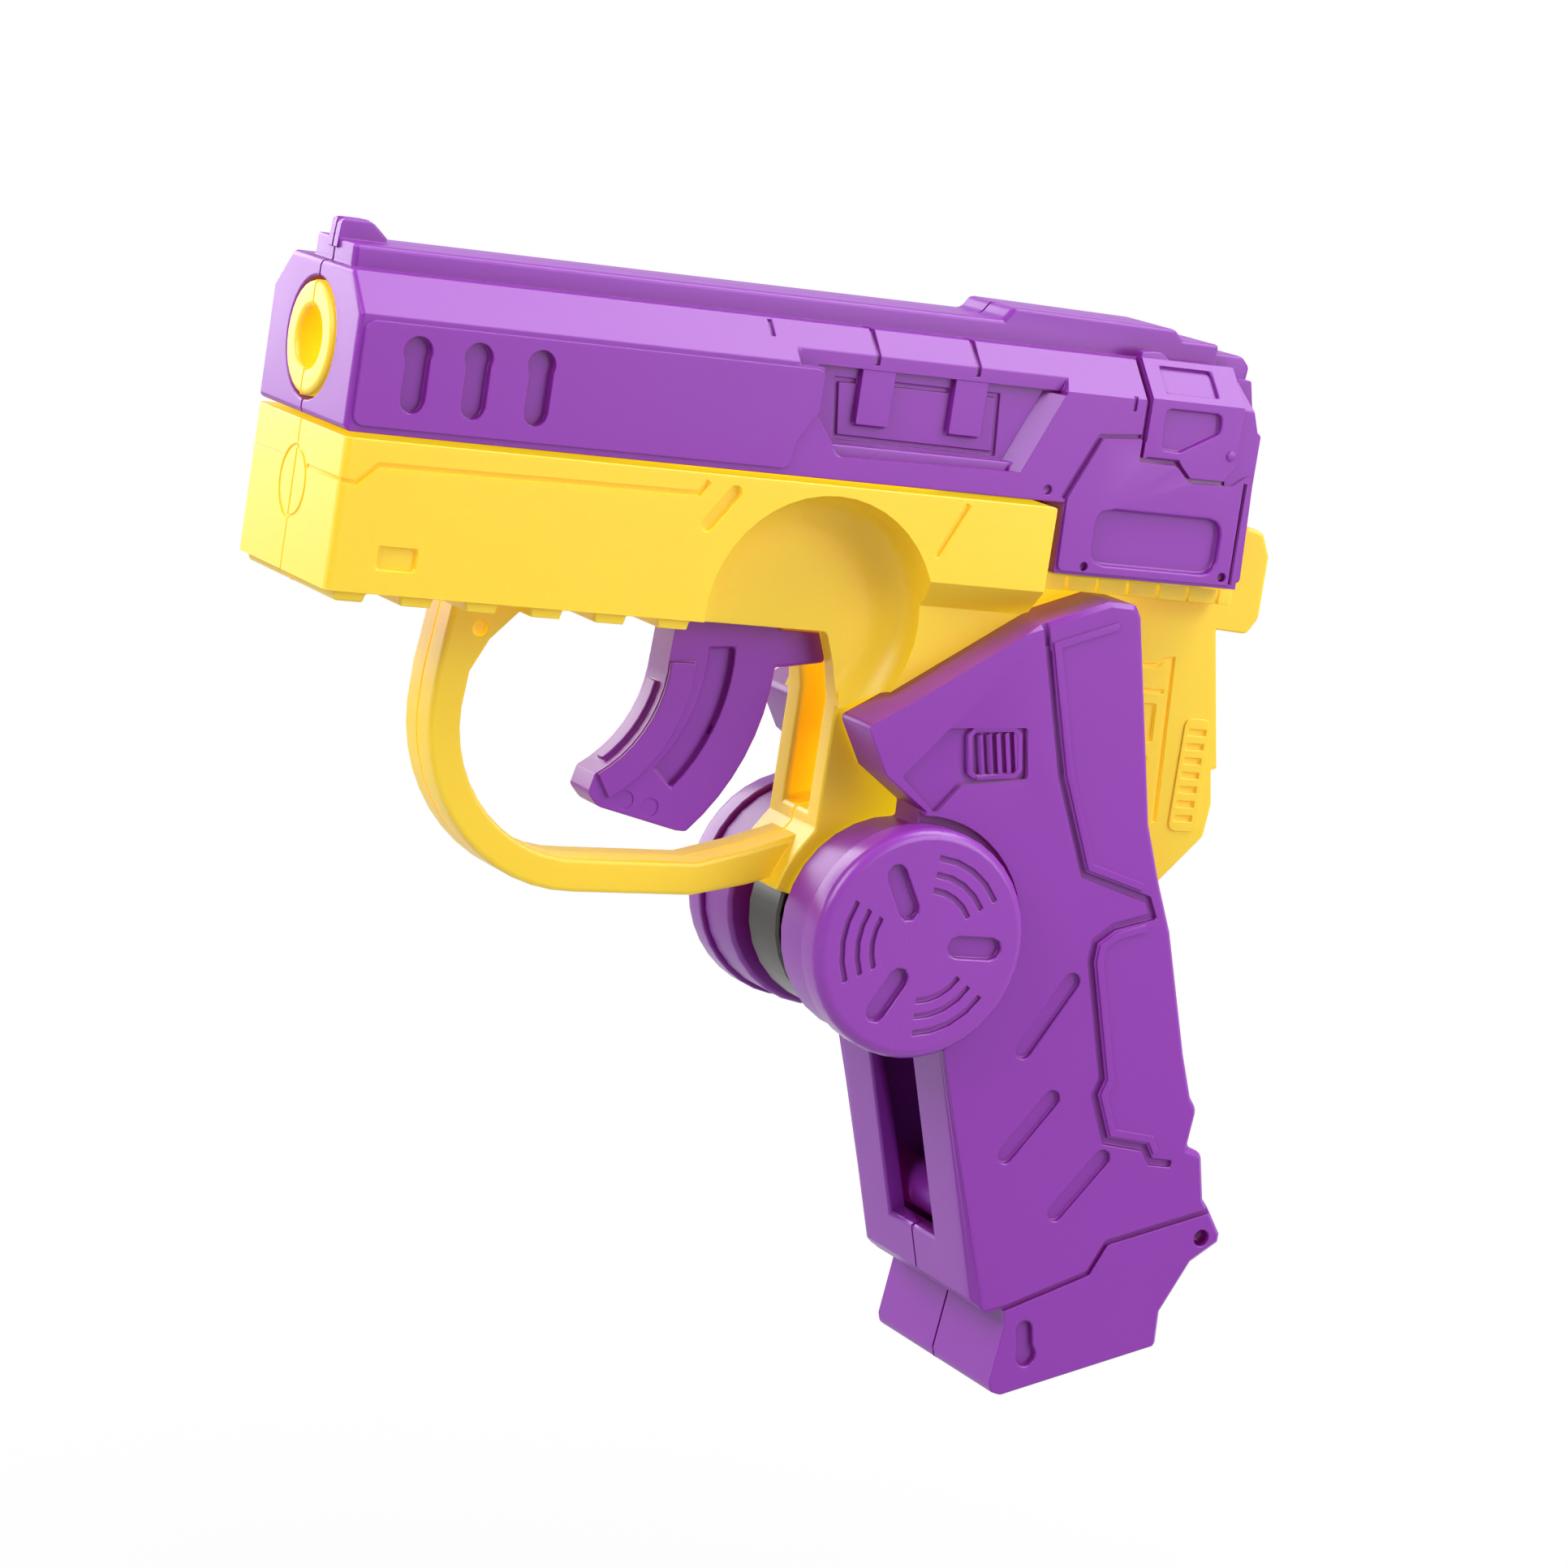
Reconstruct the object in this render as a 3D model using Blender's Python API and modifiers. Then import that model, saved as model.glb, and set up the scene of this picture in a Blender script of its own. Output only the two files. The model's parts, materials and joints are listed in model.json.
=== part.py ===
"""Toy pistol hinged on a fidget-spinner hub.

The spinner axle is the origin, the muzzle points along -X and +Z is up.
Left is the -Y side. Slide and frame outlines are written from the muzzle face
back (x) and from the slide's underside up (z), grip outlines from the axle in
a frame that leans with the grip.
"""

import math

import bmesh
import bpy
from mathutils import Matrix, Vector

# Clearances
RUN = 0.0003
PARTING = 0.0003

# Place of the spinner axle, from the muzzle face back and from the slide's underside down
PIVOT_BACK = 0.0718
PIVOT_DROP = 0.0476

# Slide
SLIDE_LENGTH = 0.1056
SLIDE_WIDTH = 0.0232
SLIDE_SIDE = 0.01175
SLIDE_HEIGHT = 0.0156
SLIDE_CROWN = 0.0157
SLIDE_WALL = 0.0020
REAR_BLOCK_LENGTH = 0.0229
REAR_BLOCK_DROP = 0.0075
BACK_PLATE = 0.0022
BACK_PLATE_WIDTH = 0.0180
LIP_WIDTH = 0.0024
LIP_HEIGHT = 0.0014
TOP_RIB_WIDTH = 0.0102
TOP_RIB_HEIGHT = 0.0023
FRONT_SIGHT_WIDTH = 0.0024
FRONT_SIGHT_HEIGHT = 0.0021
REAR_SIGHT_LENGTH = 0.0220
REAR_SIGHT_HEIGHT = 0.0014
PANEL_RISE = 0.0003
PORT_DEPTH = 0.0021
PORT_FLOOR = 0.0015
PORT_LEDGE = 0.0012
HOOD_STEP = 0.0013
HOOD_DROP = 0.0116
STRAP_WIDTH = 0.0039
STRAP_LIFT = 0.0007
SEAM_WIDTH = 0.0006
CABIN_START = 0.0914
CABIN_END = 0.1029
WINDOW_DEPTH = 0.0006
ROOF_DEPTH = 0.0004
HOOK_RISE = 0.0011
LUMP_RISE = 0.0014
LUMP_WIDTH = 0.0086

# Barrel, moulded in halves with the frame
BARREL_SINK = 0.00793
NOSE_DIAMETER = 0.01166
NOSE_LENGTH = 0.0055
TUBE_DIAMETER = 0.0084
TUBE_LENGTH = 0.0440
BORE_DIAMETER = 0.0062

# Frame
FRAME_WIDTH = 0.0239
FRAME_HEIGHT = 0.0154
FRAME_WALL = 0.0020
DECK_GAP = 0.0005
FRAME_FACE = 0.0002
DISH_RADIUS = 0.0134
DISH_BACK = 0.0558
DISH_DROP = 0.0150
DISH_FILLET = 0.0045
CHEEK_WIDTH = 0.0180
CHEEK_GAP = 0.0006
TAIL_WIDTH = 0.0110
TRIGGER_SLOT = 0.0052
POST_BACK = 0.0627
GUARD_WIDTH = 0.0068
GUARD_THICKNESS = 0.0036
GUARD_RADIUS = 0.0186
GUARD_BACK = 0.0360
GUARD_DROP = 0.0281
UNDER_RIB_PITCH = 0.0072
UNDER_RIB_LENGTH = 0.0041
DECK_STRIP_WIDTH = 0.0180
DECK_STRIP_HEIGHT = 0.0016
TANG_LENGTH = 0.0046
THUMB_RISE = 0.0002
THUMB_PITCH = 0.0016
THUMB_GROOVE = 0.0007

# Trigger
TRIGGER_WIDTH = 0.0046
TRIGGER_TRAVEL = 0.0042
TRIGGER_REACH = 0.0396
TRIGGER_FRONT_BACK = 0.0300
TRIGGER_FRONT_DROP = 0.0222
TRIGGER_FRONT_RADIUS = 0.0141
TRIGGER_REAR_BACK = 0.0310
TRIGGER_REAR_DROP = 0.0215
TRIGGER_REAR_RADIUS = 0.0257
TRIGGER_TRACK_INSET = 0.0052
TRIGGER_TRACK_WIDTH = 0.0025
TRIGGER_RIB_WIDTH = 0.0018
TRIGGER_RIB_RISE = 0.0005
TRIGGER_HEAD_TOP = 0.0085
TRIGGER_HEAD_BACK = 0.0566
TONGUE_TOP = 0.0174
TONGUE_HEIGHT = 0.0032

# Ball bearing of the 8 x 22 x 7 mm size
BEARING_BORE = 0.0080
BEARING_DIAMETER = 0.0220
BEARING_WIDTH = 0.0070
BALL_DIAMETER = 0.00397
BALL_COUNT = 7
SHOULDER = 0.0015
SEAL_THICKNESS = 0.0004

# Spinner
CAP_RADIUS = 0.0125
CAP_HEIGHT = 0.0036
CAP_ROUND = 0.0012
CAP_SLOT_WIDTH = 0.0024
CAP_SLOT_DEPTH = 0.0008
SPACER_DIAMETER = 0.0104

# Grip, in the frame that leans with it
GRIP_LEAN = math.radians(17.5)
GRIP_WIDTH = 0.0260
GRIP_FRONT = 0.0024
GRIP_DEPTH = 0.0292
GRIP_REACH = 0.0540
GRIP_WALL = 0.0020
GRIP_CORNER = 0.0024
LUG_RADIUS = 0.0120
LUG_FACE = 0.0119
POCKET_RADIUS = 0.0134
EAR_INNER = 0.0060
WINDOW_WIDTH = 0.0106
WINDOW_BOTTOM = 0.0372
PANEL_GROOVE = 0.0008
PANEL_GROOVE_DEPTH = 0.0005
RIB_RECESS_DEPTH = 0.0006
RIB_PITCH = 0.00105

# Springs
RECOIL_WIRE = 0.0007
RECOIL_TURNS = 9
TRIGGER_WIRE = 0.0005
TRIGGER_SPRING_DIAMETER = 0.0032
TRIGGER_TURNS = 5
TRIGGER_SPRING_SOLID = 0.0056

# Screws
SCREW_SHANK = 0.0020
SCREW_HEAD = 0.0040
SCREW_HEAD_HEIGHT = 0.0014
SLIDE_SCREW_LENGTH = 0.0170
FRAME_SCREW_LENGTH = 0.0170
TAIL_SCREW_LENGTH = 0.0080
GRIP_SCREW_LENGTH = 0.0190
BOSS_DIAMETER = 0.0052

# Sizes that follow from those above
HALF = PARTING / 2
BARREL_HEIGHT = SLIDE_HEIGHT - BARREL_SINK
TAIL_HALF = TAIL_WIDTH / 2
FRAME_END = SLIDE_LENGTH - REAR_BLOCK_LENGTH - 0.0008
DECK = -DECK_GAP
FRAME_BOTTOM = DECK - FRAME_HEIGHT
STRIP_TOP = -REAR_BLOCK_DROP - 0.0005
STRIP_BOTTOM = STRIP_TOP - DECK_STRIP_HEIGHT
SLIDE_INNER = SLIDE_WIDTH / 2 - SLIDE_WALL
SLIDE_CEILING = SLIDE_HEIGHT - 0.0016
LIP_INNER = SLIDE_INNER - LIP_WIDTH
TOP = SLIDE_HEIGHT + TOP_RIB_HEIGHT
BULKHEAD = NOSE_LENGTH + 0.0015
PEDESTAL = 0.0380
BALL_PITCH_RADIUS = (BEARING_BORE + BEARING_DIAMETER) / 4
SEAT_RADIUS = BEARING_DIAMETER / 2 + RUN
SEAT_HALF = BEARING_WIDTH / 2 + RUN
HUB_RADIUS = SEAT_RADIUS + 0.0018
AXLE_RADIUS = BEARING_BORE / 2 - RUN
CAP_INNER = LUG_FACE + RUN
CAP_OUTER = CAP_INNER + CAP_HEIGHT
GRIP_BACK = GRIP_FRONT + GRIP_DEPTH
EAR_TOP = (
    PIVOT_DROP + STRIP_BOTTOM - RUN - 0.0284 * math.sin(GRIP_LEAN)
) / math.cos(GRIP_LEAN)
TRIGGER_SPRING_HEIGHT = -0.0193
CHANNEL_DEPTH = TRIGGER_TRAVEL + TRIGGER_SPRING_SOLID
TONGUE_END = POST_BACK - 0.0003

ALONG_X = Matrix(((0, 0, 1, 0), (1, 0, 0, 0), (0, 1, 0, 0), (0, 0, 0, 1)))
ALONG_Y = Matrix.Rotation(-math.pi / 2, 4, "X")
DATUM = Matrix.Translation((-PIVOT_BACK, 0, PIVOT_DROP))
LEAN = Matrix.Rotation(-GRIP_LEAN, 4, "Y")

for old in list(bpy.data.objects):
    bpy.data.objects.remove(old, do_unlink=True)

parts = bpy.data.collections.new("spinner_hub_toy_pistol")
cutters = bpy.data.collections.new("cutters")
bpy.context.scene.collection.children.link(parts)
bpy.context.scene.collection.children.link(cutters)


def material(name, colour, roughness, metallic=0.0):
    """Principled material of one plain colour."""
    made = bpy.data.materials.new(name)
    made.use_nodes = True
    shader = made.node_tree.nodes["Principled BSDF"]
    shader.inputs["Base Color"].default_value = (*colour, 1.0)
    shader.inputs["Roughness"].default_value = roughness
    shader.inputs["Metallic"].default_value = metallic
    return made


PURPLE = material("purple_plastic", (0.150, 0.040, 0.290), 0.40)
PURPLE_CAP = material("purple_cap_plastic", (0.150, 0.040, 0.290), 0.25)
YELLOW = material("yellow_plastic", (0.850, 0.520, 0.020), 0.40)
STEEL = material("bearing_steel", (0.550, 0.550, 0.560), 0.25, 1.0)
DARK_STEEL = material("dark_race_steel", (0.120, 0.110, 0.100), 0.35, 1.0)
ZINC = material("zinc_steel", (0.500, 0.490, 0.460), 0.35, 1.0)
RUBBER = material("black_rubber", (0.012, 0.012, 0.013), 0.60)
NYLON = material("cage_nylon", (0.650, 0.600, 0.480), 0.45)


def mm(*points):
    """Points written in millimetres, in metres."""
    return [(x / 1000, z / 1000) for x, z in points]


def arc(x, z, radius, start, end, steps):
    """Points of an arc about (x, z) between two angles in degrees, both ends included."""
    angles = [math.radians(start + (end - start) * i / steps) for i in range(steps + 1)]
    return [(x + radius * math.cos(a), z + radius * math.sin(a)) for a in angles]


def rounded(points, radius, steps=3):
    """Closed outline with every corner turned into an arc of one radius."""
    result = []
    for i, corner in enumerate(points):
        here = Vector(corner)
        before = (Vector(points[i - 1]) - here).normalized()
        after = (Vector(points[(i + 1) % len(points)]) - here).normalized()
        half = before.angle(after) / 2
        centre = here + (before + after).normalized() * radius / math.sin(half)
        reach = radius / math.tan(half)
        first = here + before * reach - centre
        swing = first.angle_signed(here + after * reach - centre)
        for k in range(steps + 1):
            turn = Matrix.Rotation(-swing * k / steps, 2)
            result.append(tuple(centre + turn @ first))
    return result


def obround(start, end, width, steps=6):
    """Outline of a slot with round ends between two centres."""
    (x0, z0), (x1, z1) = start, end
    heading = math.degrees(math.atan2(z1 - z0, x1 - x0))
    return arc(x1, z1, width / 2, heading - 90, heading + 90, steps) + arc(
        x0, z0, width / 2, heading + 90, heading + 270, steps
    )


def band(points, width):
    """Outline of a groove that follows a polyline."""
    sides = ([], [])
    for i, (x, z) in enumerate(points):
        before = Vector(points[max(i - 1, 0)])
        after = Vector(points[min(i + 1, len(points) - 1)])
        here = Vector((x, z))
        legs = [leg.normalized() for leg in (here - before, after - here) if leg.length]
        along = sum(legs, Vector((0, 0))).normalized()
        across = Vector((-along.y, along.x))
        reach = width / 2 / max(0.5, along.dot(legs[0]))
        sides[0].append(tuple(here + across * reach))
        sides[1].append(tuple(here - across * reach))
    return sides[0] + sides[1][::-1]


def add(name, mesh, group, finish=None):
    """New object of a mesh, in one of the two collections."""
    made = bpy.data.objects.new(name, mesh)
    group.objects.link(made)
    if finish:
        mesh.materials.append(finish)
    if group is cutters:
        made.hide_render = True
        made.display_type = "WIRE"
    return made


def settle(mesh, stand):
    """Moves a mesh into place and snaps it to a fine grid, so that shared planes agree exactly."""
    mesh.transform(stand)
    for vertex in mesh.vertices:
        vertex.co = [round(value, 7) for value in vertex.co]


def extruded(name, outlines, low, high, stand, group, finish=None):
    """Solid of flat outlines, extruded from low to high across their plane."""
    curve = bpy.data.curves.new(name, "CURVE")
    curve.dimensions = "2D"
    curve.fill_mode = "BOTH"
    curve.extrude = (high - low) / 2
    for outline in outlines:
        spline = curve.splines.new("POLY")
        spline.points.add(len(outline) - 1)
        for point, (u, v) in zip(spline.points, outline):
            point.co = (u, v, 0.0, 1.0)
        spline.use_cyclic_u = True
    guide = bpy.data.objects.new(name + "_outline", curve)
    guide.matrix_world = stand @ Matrix.Translation((0, 0, (low + high) / 2))
    bpy.context.scene.collection.objects.link(guide)
    bpy.context.view_layer.update()
    graph = bpy.context.evaluated_depsgraph_get()
    mesh = bpy.data.meshes.new_from_object(guide.evaluated_get(graph))
    settle(mesh, guide.matrix_world)
    bpy.data.objects.remove(guide, do_unlink=True)
    work = bmesh.new()
    work.from_mesh(mesh)
    bmesh.ops.remove_doubles(work, verts=work.verts, dist=1e-6)
    bmesh.ops.dissolve_limit(work, angle_limit=0.01, verts=work.verts, edges=work.edges)
    bmesh.ops.recalc_face_normals(work, faces=work.faces)
    work.to_mesh(mesh)
    work.free()
    return add(name, mesh, group, finish)


def plate(name, outline, near, far, side, group=cutters, finish=None, stand=DATUM):
    """Solid of an XZ outline between two distances from the mid-plane, on one side."""
    low, high = sorted((-side * near, -side * far))
    flat = Matrix.Rotation(math.pi / 2, 4, "X")
    return extruded(name, [outline], low, high, stand @ flat, group, finish)


def bar(name, section, start, end, side, group=cutters, finish=None):
    """Solid of a half section (distance from the mid-plane, height) run along X."""
    outline = [(side * y, z) for y, z in section]
    return extruded(name, [outline], start, end, DATUM @ ALONG_X, group, finish)


def box(name, x, y, z, side, stand=DATUM):
    """Block cutter or filler between pairs of limits."""
    outline = [(x[0], z[0]), (x[1], z[0]), (x[1], z[1]), (x[0], z[1])]
    return plate(name, outline, y[0], y[1], side, stand=stand)


def turned(name, profile, steps, stand, group=cutters, finish=None, closed=False):
    """Solid of revolution about local Z, with the profile's outer side from top to bottom."""
    mesh = bpy.data.meshes.new(name)
    edges = [(i, i + 1) for i in range(len(profile) - 1)]
    if closed:
        edges.append((len(profile) - 1, 0))
    mesh.from_pydata([(r, 0, h) for r, h in profile], edges, [])
    made = add(name, mesh, group, finish)
    made.matrix_world = stand
    screw = made.modifiers.new("Turn", "SCREW")
    screw.steps = steps
    screw.render_steps = steps
    screw.use_merge_vertices = True
    screw.merge_threshold = 1e-5
    screw.use_smooth_shade = True
    return made


def rod(name, radius, low, high, stand, steps=24):
    """Round cutter or filler along local Z."""
    mesh = bpy.data.meshes.new(name)
    work = bmesh.new()
    bmesh.ops.create_cone(
        work,
        cap_ends=True,
        segments=steps,
        radius1=radius,
        radius2=radius,
        depth=high - low,
        matrix=Matrix.Translation((0, 0, (low + high) / 2)),
    )
    work.to_mesh(mesh)
    work.free()
    settle(mesh, stand)
    return add(name, mesh, cutters)


def pin(name, x, z, radius, near, far, side, stand=DATUM, steps=20):
    """Round cutter or filler along Y at a place in the side view."""
    low, high = sorted((side * near, side * far))
    return rod(name, radius, low, high, stand @ Matrix.Translation((x, 0, z)) @ ALONG_Y, steps)


def boolean(target, other, operation, solver):
    """Keeps a Boolean live on the target."""
    step = target.modifiers.new(other.name, "BOOLEAN")
    step.operation = operation
    step.solver = solver
    step.object = other


def join(target, *others, solver="EXACT"):
    for other in others:
        boolean(target, other, "UNION", solver)


def cut(target, *others, solver="EXACT"):
    for other in others:
        boolean(target, other, "DIFFERENCE", solver)


def merged(name, pieces):
    """One cutter made of several bodies that don't touch."""
    work = bmesh.new()
    for piece in pieces:
        bpy.context.view_layer.update()
        graph = bpy.context.evaluated_depsgraph_get()
        mesh = bpy.data.meshes.new_from_object(piece.evaluated_get(graph))
        mesh.transform(piece.matrix_world)
        work.from_mesh(mesh)
        bpy.data.objects.remove(piece, do_unlink=True)
    mesh = bpy.data.meshes.new(name)
    work.to_mesh(mesh)
    work.free()
    return add(name, mesh, cutters)


def soften(target, width, segments, chosen):
    """Rounds the sharp edges that a test on their two ends picks."""
    work = bmesh.new()
    work.from_mesh(target.data)
    edges = [
        e
        for e in work.edges
        if len(e.link_faces) == 2
        and e.calc_face_angle(0) > 0.5
        and chosen(e.verts[0].co, e.verts[1].co)
    ]
    bmesh.ops.bevel(
        work,
        geom=edges,
        offset=width,
        segments=segments,
        profile=0.5,
        affect="EDGES",
        clamp_overlap=True,
    )
    work.to_mesh(target.data)
    work.free()


def outer_rim(distance):
    """Test for edges that lie on a face this far from the mid-plane."""
    return lambda a, b: min(abs(a.y), abs(b.y)) > distance - 1e-6


def front_rim(face, beyond):
    """Test for edges on a front face, other than those on the parting plane."""
    limit = face - PIVOT_BACK + 1e-6
    return lambda a, b: max(a.x, b.x) < limit and max(abs(a.y), abs(b.y)) > beyond


def front_corner(face, distance):
    """Test for the upright edge where a front face meets a side this far from the mid-plane."""
    limit = face - PIVOT_BACK + 1e-6
    return lambda a, b: max(a.x, b.x) < limit and min(abs(a.y), abs(b.y)) > distance - 1e-6


def grip_corner(distance):
    """Test for the edge between the grip's front and a side, before the grip is leaned."""
    near = GRIP_FRONT + 1e-5
    far = near - 2e-5
    edge = distance - 1e-6
    return lambda a, b: min(abs(a.y), abs(b.y)) > edge and far < min(a.x, b.x) and max(a.x, b.x) < near


def grip_rim(distance):
    """Test for the other edges of a grip side, behind the front."""
    near = GRIP_FRONT + 0.003
    return lambda a, b: min(abs(a.y), abs(b.y)) > distance - 1e-6 and min(a.x, b.x) > near


def smooth(target, angle=35):
    target.data.shade_smooth()
    target.data.set_sharp_from_angle(angle=math.radians(angle))


def screw_set(name, places, length, depth, stand=DATUM):
    """Equal screws put in from the right, with heads at one distance from the mid-plane."""
    profile = [
        (0, depth),
        (SCREW_HEAD / 2 - 0.0004, depth),
        (SCREW_HEAD / 2, depth - 0.0005),
        (SCREW_HEAD / 2, depth - SCREW_HEAD_HEIGHT),
        (SCREW_SHANK / 2, depth - SCREW_HEAD_HEIGHT),
        (SCREW_SHANK / 2, depth - length + 0.0008),
        (0, depth - length),
    ]
    for i, (x, z) in enumerate(places):
        place = stand @ Matrix.Translation((x, 0, z)) @ ALONG_Y
        turned(f"{name}_{i + 1}", profile, 12, place, parts, ZINC)


def boss(target, side, places, wall, stand=DATUM):
    """Screw bosses from the parting plane out to a hollow half's wall."""
    for i, (x, z) in enumerate(places):
        tag = f"{target.name}_boss_{i}"
        join(target, pin(tag, x, z, BOSS_DIAMETER / 2, HALF, wall + 0.0005, side, stand, 16))


def bore(target, side, places, depth, wall, stand=DATUM):
    """Screw holes: a head sink on the right half, a blind pilot in the left one."""
    reach = SCREW_SHANK / 2 + RUN
    for i, (x, z) in enumerate(places):
        tag = f"{target.name}_bore_{i}"
        if side > 0:
            sink = SCREW_HEAD / 2 + RUN
            floor = depth - SCREW_HEAD_HEIGHT - RUN
            hole = pin(tag + "_hole", x, z, reach, -0.001, floor + 0.001, side, stand, 12)
            head = pin(tag + "_sink", x, z, sink, floor, depth + 0.01, side, stand, 16)
            cut(target, hole, head, solver="MANIFOLD")
        else:
            cut(target, pin(tag + "_pilot", x, z, reach, -0.001, wall - 0.0015, side, stand, 12))


def chamfer(distance):
    """Height of the slide's chamfer at a distance from the mid-plane."""
    run = (SLIDE_WIDTH - SLIDE_CROWN) / 2
    return SLIDE_SIDE + (SLIDE_WIDTH / 2 - distance) / run * (SLIDE_HEIGHT - SLIDE_SIDE)


SLIDE_SCREWS = [(TUBE_LENGTH + 0.0052, 0.0085)] + mm((84.3, 8.9), (94.5, -3.2))
SLIDE_HEAD_FACE = SLIDE_WIDTH / 2 - 0.0012
FRAME_SCREWS = mm((12, -7.5), (36, -8.5))
FRAME_HEAD_FACE = FRAME_WIDTH / 2 - 0.0008
TAIL_SCREWS = mm((92, -28), (78, -25))
TAIL_HEAD_FACE = TAIL_HALF - 0.0006
GRIP_SCREWS = mm((7.8, -35.9), (22.0, -35.2), (25.1, -18.5))
GRIP_HEAD_FACE = GRIP_WIDTH / 2 - 0.0012


def slide_half(name, side):
    """One half of the slide: hollow shell with inward lips, bulkhead, sights and rear block."""
    half = SLIDE_WIDTH / 2
    end = SLIDE_LENGTH
    section = [
        (HALF, 0),
        (half, 0),
        (half, SLIDE_SIDE),
        (SLIDE_CROWN / 2, SLIDE_HEIGHT),
        (HALF, SLIDE_HEIGHT),
    ]
    made = bar(name, section, 0, end, side, parts, PURPLE)
    soften(made, 0.0006, 2, front_rim(0, 0.001))
    block = [(end - REAR_BLOCK_LENGTH, -REAR_BLOCK_DROP), (end, -REAR_BLOCK_DROP), (end, 0.002)]
    block.append((end - REAR_BLOCK_LENGTH, 0.002))
    join(made, plate(name + "_rear_block", block, HALF, half, side))
    slope = [(end - 0.0026, SLIDE_HEIGHT), (end - 0.0004, 0.0095), (end + 0.01, 0.0095)]
    slope += [(end + 0.01, 0.03), (end - 0.0026, 0.03)]
    cut(made, plate(name + "_rear_slope", slope, -0.001, half + 0.002, side))
    back = [
        (end - 0.0040, -REAR_BLOCK_DROP + 0.0002),
        (end + BACK_PLATE, -REAR_BLOCK_DROP + 0.0002),
        (end + BACK_PLATE - 0.0005, 0.0052),
        (end - 0.0006, SLIDE_HEIGHT - 0.0008),
        (end - 0.0040, SLIDE_HEIGHT - 0.0008),
    ]
    join(made, plate(name + "_back_plate", back, HALF, BACK_PLATE_WIDTH / 2, side))
    cavity = [
        (-0.001, -0.002),
        (LIP_INNER, -0.002),
        (LIP_INNER, LIP_HEIGHT),
        (SLIDE_INNER, LIP_HEIGHT),
        (SLIDE_INNER, SLIDE_SIDE - 0.0008),
        (SLIDE_CROWN / 2 - 0.0010, SLIDE_CEILING),
        (-0.001, SLIDE_CEILING),
    ]
    cut(made, bar(name + "_cavity", cavity, SLIDE_WALL, end - 0.0028, side))
    well = box(
        name + "_rear_well",
        (end - REAR_BLOCK_LENGTH + SLIDE_WALL, end - 0.0024),
        (-0.001, SLIDE_INNER),
        (-REAR_BLOCK_DROP - 0.001, LIP_HEIGHT + 0.002),
        side,
    )
    notch = box(
        name + "_tang_notch",
        (end - 0.004, end + BACK_PLATE + 0.002),
        (-0.001, TAIL_HALF + RUN),
        (-REAR_BLOCK_DROP - 0.001, -0.0009),
        side,
    )
    cut(made, well, notch)
    walls = [(HALF, LIP_HEIGHT + 0.0002), (SLIDE_INNER + 0.0005, LIP_HEIGHT + 0.0002)]
    walls += [(SLIDE_INNER + 0.0005, SLIDE_SIDE - 0.001)]
    walls += [(SLIDE_CROWN / 2 - 0.0008, SLIDE_CEILING + 0.0004)]
    walls += [(HALF, SLIDE_CEILING + 0.0004)]
    join(made, bar(name + "_bulkhead", walls, BULKHEAD, BULKHEAD + 0.0015, side))
    pad = SLIDE_WIDTH / 2 - PORT_DEPTH - PORT_FLOOR
    sill = LIP_HEIGHT + 0.0020
    liner = [(pad, sill), (SLIDE_INNER + 0.0003, sill), (SLIDE_INNER + 0.0003, SLIDE_SIDE - 0.0011)]
    liner += [(SLIDE_INNER - 0.0010, HOOD_DROP + 0.0006), (pad - 0.0004, HOOD_DROP + 0.0006)]
    join(made, bar(name + "_port_liner", liner, 0.0480, 0.0830, side))
    axis = DATUM @ Matrix.Translation((0, 0, BARREL_HEIGHT)) @ ALONG_X
    loose = RUN + 0.00007
    cut(made, rod(name + "_nose_hole", NOSE_DIAMETER / 2 + loose, -0.002, SLIDE_WALL + 0.001, axis, 32))
    cut(made, rod(name + "_tube_hole", TUBE_DIAMETER / 2 + 0.0004, SLIDE_WALL, BULKHEAD + 0.003, axis))
    rib = [
        (HALF, SLIDE_HEIGHT - 0.001),
        (TOP_RIB_WIDTH / 2, SLIDE_HEIGHT - 0.001),
        (TOP_RIB_WIDTH / 2, SLIDE_HEIGHT + 0.0004),
        (TOP_RIB_WIDTH / 2 - 0.0013, TOP),
        (HALF, TOP),
    ]
    join(made, bar(name + "_top_rib", rib, 0.0012, end - 0.0030, side))
    sight = mm((0.9, 17), (1.1, 20), (4.4, 20), (6.3, 18.4), (6.6, 17))
    sight = [(x, z + TOP + FRONT_SIGHT_HEIGHT - 0.020) for x, z in sight]
    join(made, plate(name + "_front_sight", sight, HALF, FRONT_SIGHT_WIDTH / 2, side))
    start = end - 0.0306
    rear = [(start, TOP - 0.001), (start + 0.0017, TOP + REAR_SIGHT_HEIGHT)]
    rear += [(start + REAR_SIGHT_LENGTH, TOP + REAR_SIGHT_HEIGHT - 0.0003)]
    rear += [(start + REAR_SIGHT_LENGTH + 0.0020, TOP - 0.001)]
    join(made, plate(name + "_rear_sight", rear, HALF, TOP_RIB_WIDTH / 2 - 0.0002, side))
    panel = [(0.0007, 0.0007), (0.0495, 0.0007), (0.0498, 0.0035), (0.0522, 0.0072)]
    panel += [(0.0522, 0.0112), (0.0007, 0.0112)]
    panel = rounded(panel, 0.0010)
    join(made, plate(name + "_side_panel", panel, half - 0.0005, half + PANEL_RISE, side))
    slots = []
    for x in (0.0067, 0.0133, 0.0202):
        outline = obround((x, 0.0037), (x, 0.0084), 0.0027)
        slots.append(plate(f"{name}_slot_{x}", outline, half - 0.0006, half + 0.002, side))
    cut(made, merged(name + "_slots", slots))
    port = [(0.0520, HOOD_DROP), (0.0520, 0.0064), (0.0553, 0.0024)]
    port += [(0.0769, 0.0027), (0.0811, HOOD_DROP)]
    step = sill + 0.0002
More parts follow.
